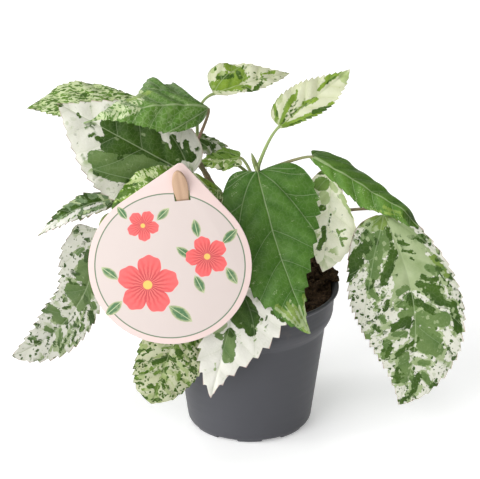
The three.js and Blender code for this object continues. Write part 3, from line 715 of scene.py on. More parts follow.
def vein_distances(s, t, length, seed):
    """How far a place is from the midrib, from the side veins and from the branches, in millimetres."""
    aside = maths("ABSOLUTE", s)
    t = t + WANDER[0] * maths("SINE", aside * WANDER[1] + seed)
    reach = (1 - maths("EXPONENT", t / (length * -VEINS["soon"]))) * length * VEINS["reach"]
    side = maths("ABSOLUTE", aside - reach) * SLANTS["main"]
    past = maths("MAXIMUM", aside - length * VEINS["lowest"], 0.0)
    basal = maths("ABSOLUTE", t - aside * VEINS["basal"]) + past
    pitch = length * VEINS["pitch"]
    inner = (t - aside * VEINS["inside"]) / pitch
    outer = (t - aside * VEINS["outside"]) / (pitch * VEINS["closer"])
    inner = maths("ABSOLUTE", inner - maths("FLOOR", inner + 0.5)) * pitch * SLANTS["inside"]
    outer = maths("ABSOLUTE", outer - maths("FLOOR", outer + 0.5)) * pitch * SLANTS["outside"]
    inside = maths("MINIMUM", maths("MAXIMUM", (reach - aside) * 2.0 + 0.5, 0.0), 1.0)
    low = maths("MAXIMUM", length * VEINS["start"] - (t - aside * VEINS["inside"]), 0.0)
    branch = (inner + low) * inside + outer * (1 - inside)
    return aside, maths("MINIMUM", side, basal), branch


def blade_width(leaf, side, u):
    """How wide one side is at u, as a share of its full width."""
    widest, taper = leaf["widest"][side], leaf["taper"][side]
    return (u / widest) ** (taper * widest / (1 - widest)) * ((1 - u) / (1 - widest)) ** taper


def midrib_knots(leaf):
    """The midrib's ends, the point that bends it and the way that its upper side faces."""
    base, tip = np.array(leaf["base"], float), np.array(leaf["tip"], float)
    chord = tip - base
    along = unit(chord)
    face = np.array(leaf["face"], float)
    face = unit(face - along * (face @ along))
    side = np.cross(along, face)
    control = base + chord * leaf["bow_at"] + face * 2 * leaf["bow"] + side * 2 * leaf["sway"]
    return base, control, tip, face


def midrib_at(leaf, u):
    """The midrib's points, its direction and the way that its upper side faces, at each u."""
    base, control, tip, face = midrib_knots(leaf)
    u = np.asarray(u, float)[:, None]
    places = (1 - u) ** 2 * base + 2 * u * (1 - u) * control + u ** 2 * tip
    along = unit(2 * (1 - u) * (control - base) + 2 * u * (tip - control))
    up = unit(face - along * (along @ face)[:, None])
    return places, along, up


def patch_depth(points, strokes):
    """How deep each point lies inside the strokes, in millimetres as the photograph's camera sees them."""
    x, y = pixels_of(points)
    deepest = np.full(x.shape, FAR_OUTSIDE)
    for x0, y0, x1, y1, radius in strokes:
        run = max((x1 - x0) ** 2 + (y1 - y0) ** 2, 1e-6)
        share = np.clip(((x - x0) * (x1 - x0) + (y - y0) * (y1 - y0)) / run, 0, 1)
        away = np.hypot(x - x0 - share * (x1 - x0), y - y0 - share * (y1 - y0))
        deepest = np.maximum(deepest, (radius - away) / (FOCAL_PIXELS / FAR))
    return deepest


def tooth_crests(u, teeth, side, rng):
    """How far each row has climbed its tooth, from 0 to 1, and that tooth's size, on a blade's one side."""
    place = u * teeth + 0.4 * side
    phase = place % 1
    crest = np.where(phase < TOOTH_CREST, phase / TOOTH_CREST, (1 - phase) / (1 - TOOTH_CREST))
    return crest, rng.uniform(*TOOTH_SIZES, teeth + 2)[place.astype(int)]


def blade_surfaces(leaf, number):
    """A blade's upper side and underside, its s and t, its v and u, its half width and its length."""
    rng = np.random.default_rng(100 + number)
    dense = midrib_at(leaf, np.linspace(0, 1, MIDRIB_STEPS))[0]
    length = np.linalg.norm(np.diff(dense, axis=0), axis=1).sum()
    pitch, depth = leaf["teeth"]
    teeth = max(8, round(length / pitch))
    rows = ((np.arange(teeth)[:, None] + TOOTH_ROWS) / teeth).ravel()[1:]
    u = np.r_[BLADE_ENDS[0], rows, BLADE_ENDS[1]]
    columns = int(np.clip(round(max(leaf["half"]) / COLUMN_PITCH), *COLUMN_COUNTS))
    v = np.linspace(-1, 1, 2 * columns + 1)[None, :]
    places, along, up = midrib_at(leaf, u)
    out = np.cross(along, up)
    edge, sign, right = np.abs(v), np.sign(v), v > 0

    def by_side(values):
        return np.where(right, values[0][:, None], values[1][:, None])

    # The outline, with its teeth
    width = by_side([blade_width(leaf, side, u) for side in (0, 1)])
    u = u[:, None]
    width = width + leaf["blunt"] * smoothstep(*BLUNT_FROM_TO, u) * np.minimum(1, 12 * (1 - u))
    for where, swell, spread in leaf["bumps"]:
        width = width + right * hump(u - where, swell, spread)
    half = np.maximum(np.where(right, *leaf["half"]) * width, 0.05)
    margins = [tooth_crests(u[:, 0], teeth, side, rng) for side in (0, 1)]
    crest, size = (by_side(pair) for pair in zip(*margins))
    strength = smoothstep(*TEETH_GROW, u) * np.minimum(1, 7 * (1 - u))
    notch = np.minimum(depth * (1 - crest) * size * strength, 0.6 * half)
    edge = edge - notch / half * edge ** 8
    s = half * edge * sign
    lobe = (1 - u) * u / LOBE_AT * np.exp(1 - u / LOBE_AT)
    t = u * length - leaf["heart"] * lobe * edge ** 2 + 0.5 * depth * crest * strength * edge ** 8

    # The relief: waves, swellings between the veins, and grooves along them
    flow = np.stack(np.broadcast_arrays(s, t, 0.0 * s + 7 * number), axis=-1)
    wave = leaf["ruffle"] * edge ** 2 * np.sin(17 * u + 2 * sign) * width
    wave = wave + 0.7 * edge ** 3 * np.sin(t * 0.42 + 3 * sign + number) * width
    wave = wave + 1.9 * rough(flow, 26, number, 1) * np.minimum(1, width * 1.5) * np.minimum(1, length / 70)
    veins = vein_distances(s, t, length, SEED_STEP * number)
    groove = np.max([hump(away, *groove) for away, groove in zip(veins, GROOVES)], axis=0)
    quilt = smoothstep(0, 0.075 * length, veins[2]) + 0.3 * rough(flow, 5, number + 40, 2)
    scale = min(1.0, length / FULL_RELIEF_LENGTH)
    relief = (leaf["crinkle"] * quilt - groove) * scale * (1 - edge ** 6)
    thick = HALF_THICKNESS * np.minimum(1, 4 * width) * (1 - 0.6 * edge ** 6) + 0.02
    ridge = hump(veins[0], *RIDGES[0]) * (1 - 0.7 * u) + hump(veins[1], *RIDGES[1])

    # The form: a fold and a curl across the blade, bent along its midrib
    fold, curl = math.radians(leaf["fold"]), math.radians(leaf["curl"])
    turn = fold + curl * edge
    drop = leaf["nod"] * smoothstep(*NOD_FROM_TO, u) ** 2

    def surface(above):
        reach = half * (np.sin(turn) - math.sin(fold)) / curl - above * np.sin(turn)
        rise = half * (math.cos(fold) - np.cos(turn)) / curl + wave + above * np.cos(turn) - drop
        return (places[:, None] + out[:, None] * (sign * reach)[..., None] + up[:, None] * rise[..., None]
                + along[:, None] * (t - u * length)[..., None])

    return surface(relief + thick), surface(relief - thick - ridge * scale), (s, t), (v, u), half, length


def make_leaf(name, number, skins, stalk_skin):
    leaf = {**PLAIN_LEAF, **LEAVES[name]}
    patches = PATCHES.get(name, {})
    top, under, (s, t), (v, u), half, length = blade_surfaces(leaf, number)
    count = s.size
    grid = np.arange(count).reshape(s.shape)
    lower = grid + count
    faces = quads(grid) + [face[::-1] for face in quads(lower)]
    for first, second in ((grid[:, 0], lower[:, 0]), (lower[:, -1], grid[:, -1]),
                          (grid[0, ::-1], lower[0, ::-1]), (grid[-1], lower[-1])):
        faces += [(a, c, d, b) for a, b, c, d in zip(first, first[1:], second, second[1:])]
    bake = np.stack(np.broadcast_arrays((v + 1) / 2, u), axis=-1)
    maps = {"OFBake": np.concatenate([bake * BAKE_BLADE + corner for corner in BAKE_SIDES]).reshape(-1, 2),
            "leaf": np.tile(np.stack([s, t], axis=-1).reshape(-1, 2), (2, 1))}
    facts = {tone: np.tile(patch_depth(top, patches.get(tone, ())).ravel(), 2) for tone in LAYERS}
    facts["margin"] = np.tile((half * (1 - np.abs(v))).ravel(), 2)
    facts["under"] = np.repeat([0.0, 1.0], count)
    for key in ("pale", "mid", "deep", "speck", "fleck"):
        facts["cover_" + key] = leaf[key] or -1
    facts.update({key: leaf[key] for key in FACTS}, seed=SEED_STEP * number, length=length)
    shape = Shape()
    shape.add(np.concatenate([top.reshape(-1, 3), under.reshape(-1, 3)]), faces, 0, maps, **facts)
    add_stalk(shape, leaf, length)
    tone = leaf["tone"]
    return shape.piece("foliage_" + name, "leaf_" + tone, [skins[tone], stalk_skin], ["leaf_" + name])


def stalk_path(leaf):
    """The stalk's points: from the bough's middle to the blade, and a little way on under it."""
    bough = spline(BOUGHS[leaf["bough"]])
    place = leaf["at"] * (len(bough) - 1)
    start = np.array([np.interp(place, np.arange(len(bough)), bough[:, axis]) for axis in range(3)])
    tangent = unit(np.gradient(bough, axis=0))[int(round(place))]
    base, control, _, face = midrib_knots(leaf)
    handle = leaf["handle"] * np.linalg.norm(base - start)
    heading = unit(2 * unit(base - start) + tangent)
    knots = (start, start + heading * handle, base - unit(control - base) * handle, base)
    share = np.linspace(0, 1, STALK_STEPS)[:, None]
    weights = ((1 - share) ** 3, 3 * share * (1 - share) ** 2, 3 * share ** 2 * (1 - share), share ** 3)
    path = sum(weight * knot for weight, knot in zip(weights, knots))
    under = midrib_at(leaf, np.linspace(*STALK_UNDER["ends"], STALK_UNDER["steps"]))[0]
    return np.vstack([path, under - face * STALK_UNDER["below"]])


def add_stalk(shape, leaf, length):
    """A stalk that swells at its foot and just below the blade, and thins out under it."""
    path = stalk_path(leaf)
    share = np.linspace(0, 1, len(path))
    radii = STALK_RADIUS * (1 - STALK_TAPER * share)
    for where, swell, spread in STALK_SWELLS:
        radii = radii * (1 + hump(share - where, swell, spread))
    radii[-1] = STALK_END
    brown = leaf["brown"] * np.clip(1.15 - 0.6 * share, 0, 1)
    shape.tube(path, radii, 12, 1, brown=brown, seed=length)


def leaf_material(tone):
    """A leaf's skin: tones in patches that follow the veins, specks, pale veins and a tinted margin, with
    painted shade in the creases along the veins and a painted brightness for each blade.
    """
    skin = Material("leaf_skin_" + tone)
    s, t = skin.uv("leaf")
    seed, length, under, margin = (skin.attribute(name) for name in ("seed", "length", "under", "margin"))
    warm, ground, grain, stretch = (skin.attribute(name) for name in ("warm", "ground", "grain", "stretch"))
    middle, side_vein, branch = vein_distances(s, t, length, seed)
    aside = s * grain
    across = (t - middle * 0.5) * grain
    place = skin.vector(s, t, seed)
    jitter = skin.noise(place, 0.42, 4.0, "Color")
    parts = ("Red", "Green", "Blue")
    jitter_x, jitter_y, wobble = ((skin.part(jitter, part) - 0.5) * 5.0 for part in parts)
    drift = skin.noise(skin.vector(s, t, seed + 31.0), 0.1, 2.0)
    fine = skin.noise(place, 1.4, 2.0)
    noises = {"broad": skin.noise(place, 0.045, 2.0), "drift": drift, "fine": fine}
    # Painted shade: darker in the creases along the veins and lighter on the swells between them, blended
    # into the random mottle
    painted_crease_shade = (branch.math("MINIMUM", side_vein) / (length * 0.045)).clamped()
    mottle_and_crease_shade = ((skin.noise(place, 0.12, 5.0) - 0.5) * 1.9 + 0.5).clamped() * 0.6 + painted_crease_shade * 0.4

    def blocks(wide, high, shift):
        """A chance number from -0.5 to 0.5 for each of the ragged blocks that lie along the veins."""
        x = (aside * stretch + jitter_x) / wide
        y = (across / stretch + jitter_y * 0.7) / high
        return skin.part(skin.cells(skin.vector(x, y, seed + shift), "Color"), "Red") - 0.5

    ragged = (wobble * 0.5 + blocks(3.4, 1.8, 17.5) * 1.5) * skin.attribute("fray")
    border = skin.attribute("mid").math("MAXIMUM", skin.attribute("deep")) + skin.attribute("halo")
    border = border + wobble * 0.7 + blocks(5.0, 4.0, 21.5) * 5.0

    def covered(name):
        """How fully a tone covers a place, from 0 to 1, by its strokes and by chance."""
        stroke = (skin.attribute(name) + ragged) * 3.0
        if name == "pale":
            stroke = stroke.math("MAXIMUM", border * 3.0)
        if name in CHANCE:
            noise, noise_share, block, block_share = CHANCE[name]
            field = (noises[noise] - 0.5) * noise_share + blocks(*block) * block_share + 0.5
            cover = skin.attribute("cover_" + name)
            if name == "fleck":
                here = (stroke * 0.3 + 0.5).clamped() * 0.55
                stroke = (here.math("MAXIMUM", cover) - field) * 9.0
            else:
                stroke = stroke.math("MAXIMUM", (cover - field) * 12.0)
        return (stroke + 0.5).clamped()

    def dots(wide, high, share):
        """Small spots, each in a cell of its own, of mixed sizes."""
        x = (aside + jitter_x * 0.6) / wide
        y = (t * grain + jitter_y * 0.8) / high
        spot = skin.vector(x, y, seed + wide)
        cell = skin.cells(spot, "Color")
        chance = (share - skin.part(cell, "Green")) * 6.0
        inside = (skin.part(cell, "Blue") * 0.44 + 0.19 - skin.cells(spot)) * 8.0
        return chance.math("MINIMUM", inside).clamped()

    shades = {}
    for name, pairs in SHADES.items():
        shades[name] = skin.mix(warm, *(skin.mix(mottle_and_crease_shade, *pair) for pair in pairs))
    crowding = (skin.noise(place, 0.09, 2.0) - 0.53) * 1.3
    speck = dots(2.4, 3.1, skin.attribute("cover_speck") * 0.5 + crowding)
    colour = skin.mix(speck, skin.mix(ground, shades["white"], shades["solid"]), shades["deep"])
    for name in LAYERS:
        colour = skin.mix(covered(name), colour, shades[name])
    colour = skin.mix(dots(2.4, 3.4, skin.attribute("holes")) * 0.8, colour, shades["pale"])

    def line(distance, width):
        return ((width - distance) / (width * 0.6)).clamped()

    places = skin.vector((s + jitter_x * 0.5) / 3.1, (t + jitter_y * 0.5) / 3.1, seed)
    net = skin.cells(places, "Distance", "DISTANCE_TO_EDGE")
    narrow = 1.15 - t / length * 0.75
    veins = line(middle, narrow * 0.62).math("MAXIMUM", line(side_vein, narrow * 0.42) * 0.6)
    veins = veins.math("MAXIMUM", line(branch, narrow * 0.36) * 0.55)
    veins = veins.math("MAXIMUM", (skin.attribute("net") * 0.09 - net).clamped() * 1.7)
    vein_colour = skin.mix(0.5, colour, skin.mix(warm, *COLOURS["vein"]))
    colour = skin.mix((veins * skin.attribute("veins")).clamped(), colour, vein_colour)
    if tone != "green":
        rim = ((0.75 - margin) * 2.5).clamped() * (drift * 1.4 - 0.2).clamped() * (1 - warm)
        colour = skin.mix(rim, colour, COLOURS["margin"])
    colour = skin.mix(under, colour, skin.mix(0.45, colour, COLOURS["underside"]))
    # Painted light: each blade's colour is scaled by its light, brighter or darker for the light and shade
    # that fall on it
    inputs = {0: colour, "Scale": skin.attribute("light")}
    colour = skin.node("ShaderNodeVectorMath", 0, inputs, operation="SCALE")
    roughness = fine * 0.12 + under * 0.2 + (1 - mottle_and_crease_shade) * 0.06 + 0.36
    height = (net * 1.2).math("MINIMUM", 0.25) - veins * 0.35 + fine * 0.15
    return skin.finish(colour, roughness, skin.bump(height, 0.35, 0.6), Specular_IOR_Level=0.18)


def stalk_material():
    skin = Material("stalk_skin")
    place = skin.vector(skin.attribute("seed"), 0.0, 0.0)
    streak = skin.noise(skin.combine("ADD", skin.places(), place), 260.0, 4.0)
    green, brown = (skin.mix(streak, *COLOURS[name]) for name in ("green_stalk", "brown_stalk"))
    colour = skin.mix((skin.attribute("brown") + (streak - 0.5) * 0.5).clamped(), green, brown)
    hairs = skin.noise(skin.places(), 1800.0, 2.0)
    return skin.finish(colour, streak * 0.2 + 0.4, skin.bump(hairs, 0.15, 0.5))


# Stems
def bark_material():
    bark = Material("young_bark")
    places = bark.places()
    broad = bark.noise(places, 90.0, 4.0)
    fine = bark.noise(places, 700.0, 3.0)
    corky = bark.cells(bark.combine("MULTIPLY", places, (900.0, 900.0, 380.0)))
    colour = bark.mix(((broad - 0.35) * 2.5).clamped(), *COLOURS["bark"])
    colour = bark.mix(((0.28 - corky) * 8.0).clamped() * 0.7, colour, COLOURS["cork"])
    height = fine * 0.4 + (0.3 - corky).clamped() * 1.5
    return bark.finish(colour, fine * 0.2 + 0.55, bark.bump(height, 0.3, 0.8))


def add_limb(shape, path, radii, seed):
    """A limb with thin bark: shallow lengthwise ridges, soft rings and small knots on the given radii."""
    along = np.linalg.norm(np.diff(path, axis=0, prepend=path[:1]), axis=1).cumsum()[:, None]
    angle = 2 * np.pi * np.arange(STEM_SIDES)[None, :] / STEM_SIDES
    where = np.stack(np.broadcast_arrays(3 * np.cos(angle), 3 * np.sin(angle), along * 0.45), axis=-1)
    knots = 1 + 0.05 * rough(where, 1.6, seed) + 0.02 * np.sin(along * 1.7 + seed)
    shape.tube(path, radii[:, None] * knots, STEM_SIDES)


def make_stems(bark, stalk_skin):
    path = spline(TRUNK, 70)
    trunk = Shape()
    add_limb(trunk, path, TRUNK_RADIUS + TRUNK_FLARE * np.exp(-7 * np.linspace(0, 1, len(path))), 5)
    trunk.piece("bark_trunk", "bark", [bark], ["trunk"])
    for number, (name, knots) in enumerate(BOUGHS.items()):
        path = spline(knots, 90)
        share = np.linspace(0, 1, len(path))
        radii = BOUGH_RADII[0] + (BOUGH_RADII[1] - BOUGH_RADII[0]) * share
        joints = [leaf["at"] for leaf in LEAVES.values() if leaf["bough"] == name]
        for joint in joints:
            radii = radii + hump(share - joint + JOINT_BEFORE, *JOINT_SWELL)
        radii[-len(BOUGH_END):] *= BOUGH_END
        bough = Shape()
        add_limb(bough, path, radii, number + 11)
        tangents = unit(np.gradient(path, axis=0))
        for turn, joint in enumerate(joints):
            where = int(joint * (len(path) - 1))
            add_axil_bud(bough, path[where], tangents[where], radii[where], turn * 2.4 + number)
        if name == "centre":
            add_tip_bud(bough, path[-4])
        bough.piece("bark_bough_" + name, "bark", [bark, stalk_skin], ["bough_" + name])


def add_axil_bud(shape, place, tangent, radius, turn):
    """A small bud in a leaf's axil, with a pair of thin stipules beside it."""
    side = unit(np.cross(tangent, [0.2, 0.3, 0.9]))
    other = np.cross(tangent, side)
    steps = np.linspace(0, 1, 9)[:, None]
    for spread, long, thick in AXIL_PARTS:
        out = side * math.cos(turn + spread) + other * math.sin(turn + spread)
        path = place + out * (radius * 0.7 + steps * long * 0.55) + tangent * steps * long
        shape.tube(path, thick * np.sin(np.pi * (0.22 + 0.75 * steps[:, 0])), 8, 1, brown=0.35, seed=turn)


def add_tip_bud(shape, foot):
    """The bud at the tip of the centre bough, between two thin sheaths."""
    count, sheathed = 24, 18
    steps = np.linspace(0, 1, count)
    line = np.linspace(foot, TIP_BUD["tip"], count)
    radii = TIP_BUD["radius"] * np.sin(np.pi * (0.3 + 0.68 * steps)) ** 0.8
    shape.tube(line, radii, 14, 1, brown=0.15, seed=3)
    thick = TIP_BUD["sheath"] * np.sin(np.pi * (0.25 + 0.7 * np.linspace(0, 1, sheathed)))
    for side in (-1, 1):
        away = np.array([side, 0.4 * side, -1]) * np.sin(steps[:sheathed] * 2.2)[:, None]
        shape.tube(line[:sheathed] + away, thick, 8, 1, brown=0.5, seed=5)


# Pot
def body_radius(z):
    return POT["foot_radius"] + POT["flare"] + POT["taper"] * z


def pot_side(bottom, inset):
    """The wall's outline from a level up to under the lip, moved inwards by the inset."""
    foot = POT["height"] - POT["collar_height"]
    outline = [(body_radius(bottom), bottom), (body_radius(foot), foot),
               (body_radius(foot) + STEP["out"], foot + STEP["rise"]),
               (POT["collar_radius"] - STEP["draft"], foot + STEP["height"]),
               (POT["collar_radius"], POT["height"] - 2 * POT["lip_height"])]
    return [(radius - inset, z) for radius, z in outline]


def rounded(outline, radius, steps=5):
    """An outline of radius and height with its inner corners rounded."""
    points = [np.array(p, float) for p in outline]
    done = [points[0]]
    for before, corner, after in zip(points, points[1:], points[2:]):
        reach = min(radius, 0.45 * np.linalg.norm(corner - before), 0.45 * np.linalg.norm(after - corner))
        start = corner + unit(before - corner) * reach
        end = corner + unit(after - corner) * reach
        for share in np.linspace(0, 1, steps):
            done.append((1 - share) ** 2 * start + 2 * share * (1 - share) * corner + share ** 2 * end)
    return done + [points[-1]]


def densely(outline, pitch):
    """The outline with more points, about a pitch apart."""
    points = [outline[0]]
    for before, after in zip(outline, outline[1:]):
        count = max(1, round(math.dist(before, after) / pitch))
        points += [before + (after - before) * k / count for k in range(1, count + 1)]
    return points


def turned(shape, outline, sectors):
    """Turns an outline of radius and height about Z. A height may be a function of x and y."""
    rows, points = [], []
    angle = 2 * np.pi * np.arange(sectors) / sectors
    for radius, z in outline:
        count = sectors if radius > 1e-6 else 1
        x, y = radius * np.cos(angle[:count]), radius * np.sin(angle[:count])
        rows.append(len(points) + np.arange(sectors) % count)
        points += list(zip(x, y, z(x, y) if callable(z) else np.full(count, z)))
    faces = [tuple(dict.fromkeys(face)) for face in quads(np.array(rows), closed=True)]
    shape.add(points, [face for face in faces if len(face) > 2])


def cut(thing, cutters):
    """Cuts closed meshes out of a piece, and removes them."""
    for cutter in cutters:
        modifier = thing.modifiers.new("cut", "BOOLEAN")
        modifier.operation = "DIFFERENCE"
        modifier.solver = "MANIFOLD"
        modifier.object = cutter
    bpy.context.view_layer.update()
    graph = bpy.context.evaluated_depsgraph_get()
    mesh = bpy.data.meshes.new_from_object(thing.evaluated_get(graph))
    thing.modifiers.clear()
    thing.data = mesh
    for cutter in cutters:
        bpy.data.objects.remove(cutter)


def block(middle, size, axes):
    """A plain closed box that serves as a cutter."""
    corners = (np.array(list(np.ndindex(2, 2, 2))) - 0.5) * size
    faces = [(0, 1, 3, 2), (4, 6, 7, 5), (0, 4, 5, 1), (2, 3, 7, 6), (0, 2, 6, 4), (1, 5, 7, 3)]
    return mesh_object("cutter", corners @ axes + middle, faces)


def turned_axes(turn):
    """The three axes, turned about Z."""
    cosine, sine = math.cos(turn), math.sin(turn)
    return np.array([[cosine, sine, 0], [-sine, cosine, 0], [0, 0, 1]])


def smooth_by_angle(mesh, degrees=40):
    """Marks sharp edges, so that the smooth faces meet crisply there."""
    mesh.polygons.foreach_set("use_smooth", [True] * len(mesh.polygons))
    mesh.set_sharp_from_angle(angle=math.radians(degrees))


def pot_material():
    plastic = Material("pot_plastic")
    places = plastic.places()
    broad = plastic.noise(places, 18.0, 3.0)
    fine = plastic.noise(places, 900.0, 2.0)
    x, y, z = (plastic.node("ShaderNodeSeparateXYZ", axis, {"Vector": places}) for axis in "XYZ")
    streaks = plastic.noise(plastic.vector(x * 60.0, y * 60.0, z * 900.0), 1.0, 2.0)
    colour = plastic.mix(broad, *COLOURS["plastic"])
    dust = ((plastic.noise(places, 130.0, 5.0) - 0.56) * 6.0).clamped() * ((z - 0.072) * 30.0).clamped()
    colour = plastic.mix(dust * 0.35, colour, COLOURS["dust"])
    roughness = broad * 0.1 + streaks * 0.1 + 0.38
    height = fine * 0.3 + streaks * 0.7
    return plastic.finish(colour, roughness, plastic.bump(height, 0.08, 0.6), Specular_IOR_Level=0.3)


def make_pot():
    height, lip, stand = POT["height"], POT["lip_height"], POT["stand_radius"]
    outer = [(0, POT["hollow"]), (stand - POT["ring"] - 1, POT["hollow"]), (stand - POT["ring"], 0),
             (stand, 0), (POT["foot_radius"], POT["bevel"]), *pot_side(POT["floor"], 0)]
    rim = [(POT["lip_radius"], height - lip), (POT["lip_radius"], height),
           (POT["lip_radius"] - POT["lip_width"], height)]
    inner = pot_side(POT["floor"], POT["wall"])[::-1] + [(0, POT["floor"])]
    banded = []
    for radius, z in densely(rounded(outer + rim + inner, POT["rounding"]), OUTLINE_PITCH):
        outside = radius > body_radius(z) - 0.6 and z < height - lip - 1
        band = sum(rise * math.sin(z * rate) * (z > low) for rise, rate, low in MOULD_BANDS)
        banded.append((radius + band * outside, z))
    shape = Shape()
    turned(shape, banded, POT_SECTORS)
    pot = shape.piece("pot_shell", "pot_plastic", [pot_material()], ["pot"])
    cutters = []
    size = (2 * NOTCH["depth"], NOTCH["width"], 2 * NOTCH["height"])
    for i in range(NOTCH["count"]):
        axes = turned_axes(2 * math.pi * (i + 0.5) / NOTCH["count"] - math.pi / 2)
        cutters.append(block(axes[0] * POT["foot_radius"], size, axes))
    cut(pot, cutters)
    smooth_by_angle(pot.data)


# Soil
def soil_surface(x, y):
    """The height of the soil: lumps and crumbs, and a heap at the back right that breaks into clods."""
    lumps = np.sin(0.31 * x + 0.9) * np.cos(0.27 * y - 0.4) + 0.6 * np.sin(0.53 * y + 0.21 * x)
    heap = hump(np.hypot(x - SOIL_HEAP["x"], y - SOIL_HEAP["y"]), 1, SOIL_HEAP["spread"])
    flat = np.stack(np.broadcast_arrays(x, y, 0.0 * x), axis=-1)
    crumble = (1.5 + 2.2 * heap) * rough(flat, 6.5, 61) + (0.9 + 1.2 * heap) * np.abs(rough(flat, 2.6, 71))
    inside = smoothstep(SOIL["calm"], SOIL["lumpy"], np.hypot(x, y))
    level = SOIL["level"] + SOIL["lump"] * lumps * inside + SOIL_HEAP["height"] * heap
    return level + crumble * np.maximum(inside, heap)


def soil_material(name, colours, scale):
    soil = Material(name)
    places = soil.places()
    clods = soil.noise(places, scale, 6.0)
    grains = soil.cells(soil.combine("MULTIPLY", places, (1300.0,) * 3), "Color")
    colour = soil.mix(((clods - 0.3) * 2.2).clamped(), *colours)
    colour = soil.mix((soil.part(grains, "Red") - 0.86).clamped() * 3.0, colour, COLOURS["grit"])
    height = clods * 0.8 + soil.part(grains, "Green") * 0.4
    return soil.finish(colour, 0.95, soil.bump(height, 0.6), Specular_IOR_Level=0.15)


def make_soil():
    rng = np.random.default_rng(7)
    peat = soil_material("moist_peat", COLOURS["peat"], 420.0)
    inset = POT["wall"] + SOIL["clear"]
    edge = POT["collar_radius"] - STEP["draft"] / 2 - inset
    sides = pot_side(POT["floor"] + GAP, inset)[:4] + [(edge, SOIL["level"] - 5)]
    surface = [(radius, soil_surface) for radius in (*np.linspace(edge + 0.1, 0.6, SOIL["rings"]), 0)]
    bed = Shape()
    turned(bed, [(0, POT["floor"] + GAP), *sides, *surface], SOIL["sectors"])
    bed.piece("peat_bed", "peat", [peat], ["soil"])
    make_crumbs(rng, peat)
    make_fibres(rng, soil_material("peat_fibre", COLOURS["fibre"], 900.0))


def chance_place(rng, heaped, reach, shift=0):
    """A place within reach of the pot's middle, or round the middle of the heap."""
    if heaped:
        scatter = SOIL_HEAP["scatter"]
        return rng.normal(SOIL_HEAP["x"] + shift, scatter), rng.normal(SOIL_HEAP["y"], scatter)
    away, turn = reach * math.sqrt(rng.random()), rng.uniform(0, 2 * math.pi)
    return away * math.cos(turn), away * math.sin(turn)


def make_crumbs(rng, peat):
    """Crumbs on the soil, some of them tall ones on the heap, and clods along the rim behind it."""
    ball, faces = small_ball()
    crumbs = Shape()
    for number in range(CRUMBS["count"]):
        heaped = number % 3 == 0
        x, y = chance_place(rng, heaped, CRUMBS["reach"])
        if math.hypot(x, y) > CRUMBS["limit"]:
            continue
        size = CRUMBS["smallest"] + CRUMBS["spread"] * rng.random() ** 3
        lumpy = lumped(ball, number, 0.35, 0.9, number) * size * rng.uniform(0.6, 1.3, 3)
        if heaped and number < CRUMBS["tall_before"]:
            lumpy = lumpy * (1.2, 1.2, 2.4) + ball[:, 2:] ** 2 * rng.normal(size=3) * (1, 1, 0.6)
        crumbs.add(lumpy + (x, y, soil_surface(x, y) + 0.25 * size), faces)
    for turn in np.linspace(*RIM_CLODS["from_to"], RIM_CLODS["count"]):
        away, turn = rng.uniform(*RIM_CLODS["away"]), math.radians(turn + rng.uniform(-2, 2))
        lumpy = lumped(ball, turn * 9, 0.4, 0.8, 31) * rng.uniform(*RIM_CLODS["size"], 3)
        crumbs.add(lumpy + (away * math.cos(turn), away * math.sin(turn), RIM_CLODS["level"]), faces)
    crumbs.piece("peat_crumbs", "peat", [peat])


def small_ball():
    """The points and faces of a round ball with a radius of 1."""
    ball = bmesh.new()
    bmesh.ops.create_icosphere(ball, subdivisions=2, radius=1)
    points = np.array([vertex.co for vertex in ball.verts])
    faces = [tuple(vertex.index for vertex in face.verts) for face in ball.faces]
    ball.free()
    return points, faces


def lumped(ball, shift, height, size, seed):
    """The ball's points with lumps and dents of up to that height."""
    return ball * (1 + height * rough(ball + shift, size, seed, 2)[:, None])


def make_fibres(rng, fibre):
    """Fibres that lie loose on the soil, each a little bowed."""
    strands = Shape()
    steps = np.linspace(0, 1, 8)[:, None]
    for number in range(FIBRES["count"]):
        x, y = chance_place(rng, number % 2 == 1, FIBRES["reach"], FIBRES["shift"])
        if math.hypot(x, y) > FIBRES["limit"]:
            continue
        long = rng.uniform(*FIBRES["long"])
        heading = unit(rng.normal(size=3) * (1, 1, 0.35) + (0, 0, 0.25))
        start = np.array([x, y, soil_surface(x, y) + 0.2])
        path = start + heading * steps * long + rng.normal(size=3) * 1.6 * np.sin(steps * np.pi)
        path[:, 2] = np.maximum(path[:, 2], soil_surface(path[:, 0], path[:, 1]) - 0.1)
        strands.tube(path, rng.uniform(*FIBRES["radius"]) * (1.1 - steps[:, 0]), 5)
    strands.piece("peat_fibres", "peat", [fibre])


# Card and stick
def card_axes():
    """The card's own axes: to its right, up to its apex, and out of its face."""
    lean = math.radians(90 - CARD["lean"])
    tilt = np.array([[1, 0, 0], [0, math.cos(lean), -math.sin(lean)], [0, math.sin(lean), math.cos(lean)]])
    return turned_axes(math.radians(CARD["turn"])) @ tilt.T


def stick_axes():
    """The stick's foot, its own axes and its length."""
    foot, top = np.array(STICK["foot"], float), np.array(STICK["top"], float)
    up = unit(top - foot)
    side = unit(np.cross([0, 1, 0], up))
    return foot, np.array([side, up, np.cross(side, up)]), np.linalg.norm(top - foot)


